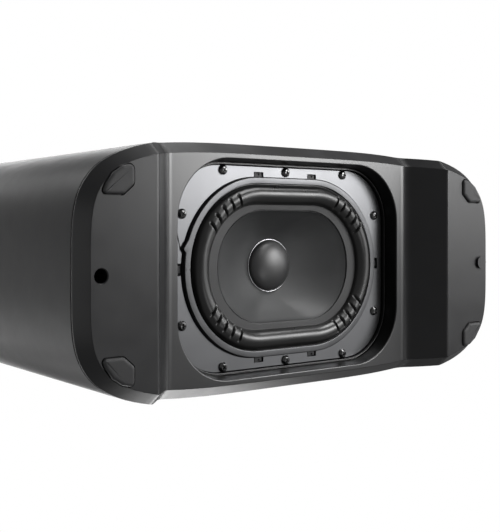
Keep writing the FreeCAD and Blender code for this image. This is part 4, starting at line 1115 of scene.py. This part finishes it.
def add_floor():
    """A plain pale floor under the feet, seen only from above."""
    half = 2500.0
    corners = [(-half, -half, 0), (half, -half, 0), (half, half, 0), (-half, half, 0)]
    piece = mesh_piece("floor", corners, [(0, 1, 2, 3)])
    material, tree, shader = new_material("floor_paint", (0.80, 0.80, 0.80), 0.9)
    clear = tree.nodes.new("ShaderNodeBsdfTransparent")
    geometry = tree.nodes.new("ShaderNodeNewGeometry")
    mix = tree.nodes.new("ShaderNodeMixShader")
    output = next(n for n in tree.nodes if n.type == "OUTPUT_MATERIAL")
    tree.links.new(geometry.outputs["Backfacing"], mix.inputs["Fac"])
    tree.links.new(shader.outputs["BSDF"], mix.inputs[1])
    tree.links.new(clear.outputs["BSDF"], mix.inputs[2])
    tree.links.new(mix.outputs["Shader"], output.inputs["Surface"])
    piece.data.materials.append(material)
    piece.visible_shadow = False
    piece.visible_diffuse = False
    piece.visible_glossy = False


BOX_DISTANCE = 1.2
BOX_SIZE = (0.36, 0.40)
# Each box's lean across and up in degrees, and its radiance.
UNDERSIDE_BOXES = [(44, -15, 8.8), (33, -12, 4.8), (42, 4, 0.9), (62, -6, 2.0), (78, -15, 4.4),
                   (78, 20, 1.7), (27, -56, 7.5), (61, -56, 8.0), (10, -34, 1.5), (10, 20, 1.5)]
# Each softbox's place, aim, size and radiance.
SOFTBOXES = {
    "side_front": ((-0.75, -1.1, 1.1), (-0.2, 0.0, 0.25), (0.5, 0.5), 6.0),
    "side_rear": ((-0.75, 1.1, 1.1), (-0.2, 0.0, 0.25), (0.5, 0.5), 4.5),
    "side_near": ((-0.75, 0.4, 1.1), (-0.2, 0.0, 0.25), (0.5, 0.5), 0.8),
    "left_fill": ((-1.3, 0.0, 0.2), (-0.2, 0.0, 0.2), (0.8, 0.8), 1.2),
    "front_key": ((0.9, -1.9, 1.5), (0.0, 0.0, 0.2), (1.2, 1.2), 8.0),
    "rear_fill": ((0.8, 1.9, 1.3), (0.0, 0.0, 0.2), (1.4, 1.4), 6.0),
    "top_fill": ((0.3, 0.0, 2.2), (0.0, 0.0, 0.4), (1.4, 1.4), 4.0),
}


def add_lights():
    """Softboxes under the tower, beside it, and above it for the other sides."""
    for across, up, radiance in UNDERSIDE_BOXES:
        add_underside_box("underside_%d_%d" % (across, abs(up)), across, up, BOX_SIZE, radiance)
    for name, (place, aim, size, radiance) in SOFTBOXES.items():
        add_light(name, place, aim, size, radiance)


bpy.context.scene.view_settings.view_transform = "Standard"
add_camera()
dress_cad_nodes()
make_base()
make_shell()
make_cap()
for foot_node in FOOT_NODES:
    make_foot(foot_node)
make_plate()
make_clips()
make_trim()
make_surround()
make_cone()
make_dust_cap()
make_spider()
make_screws()
add_world()
add_floor()
add_lights()
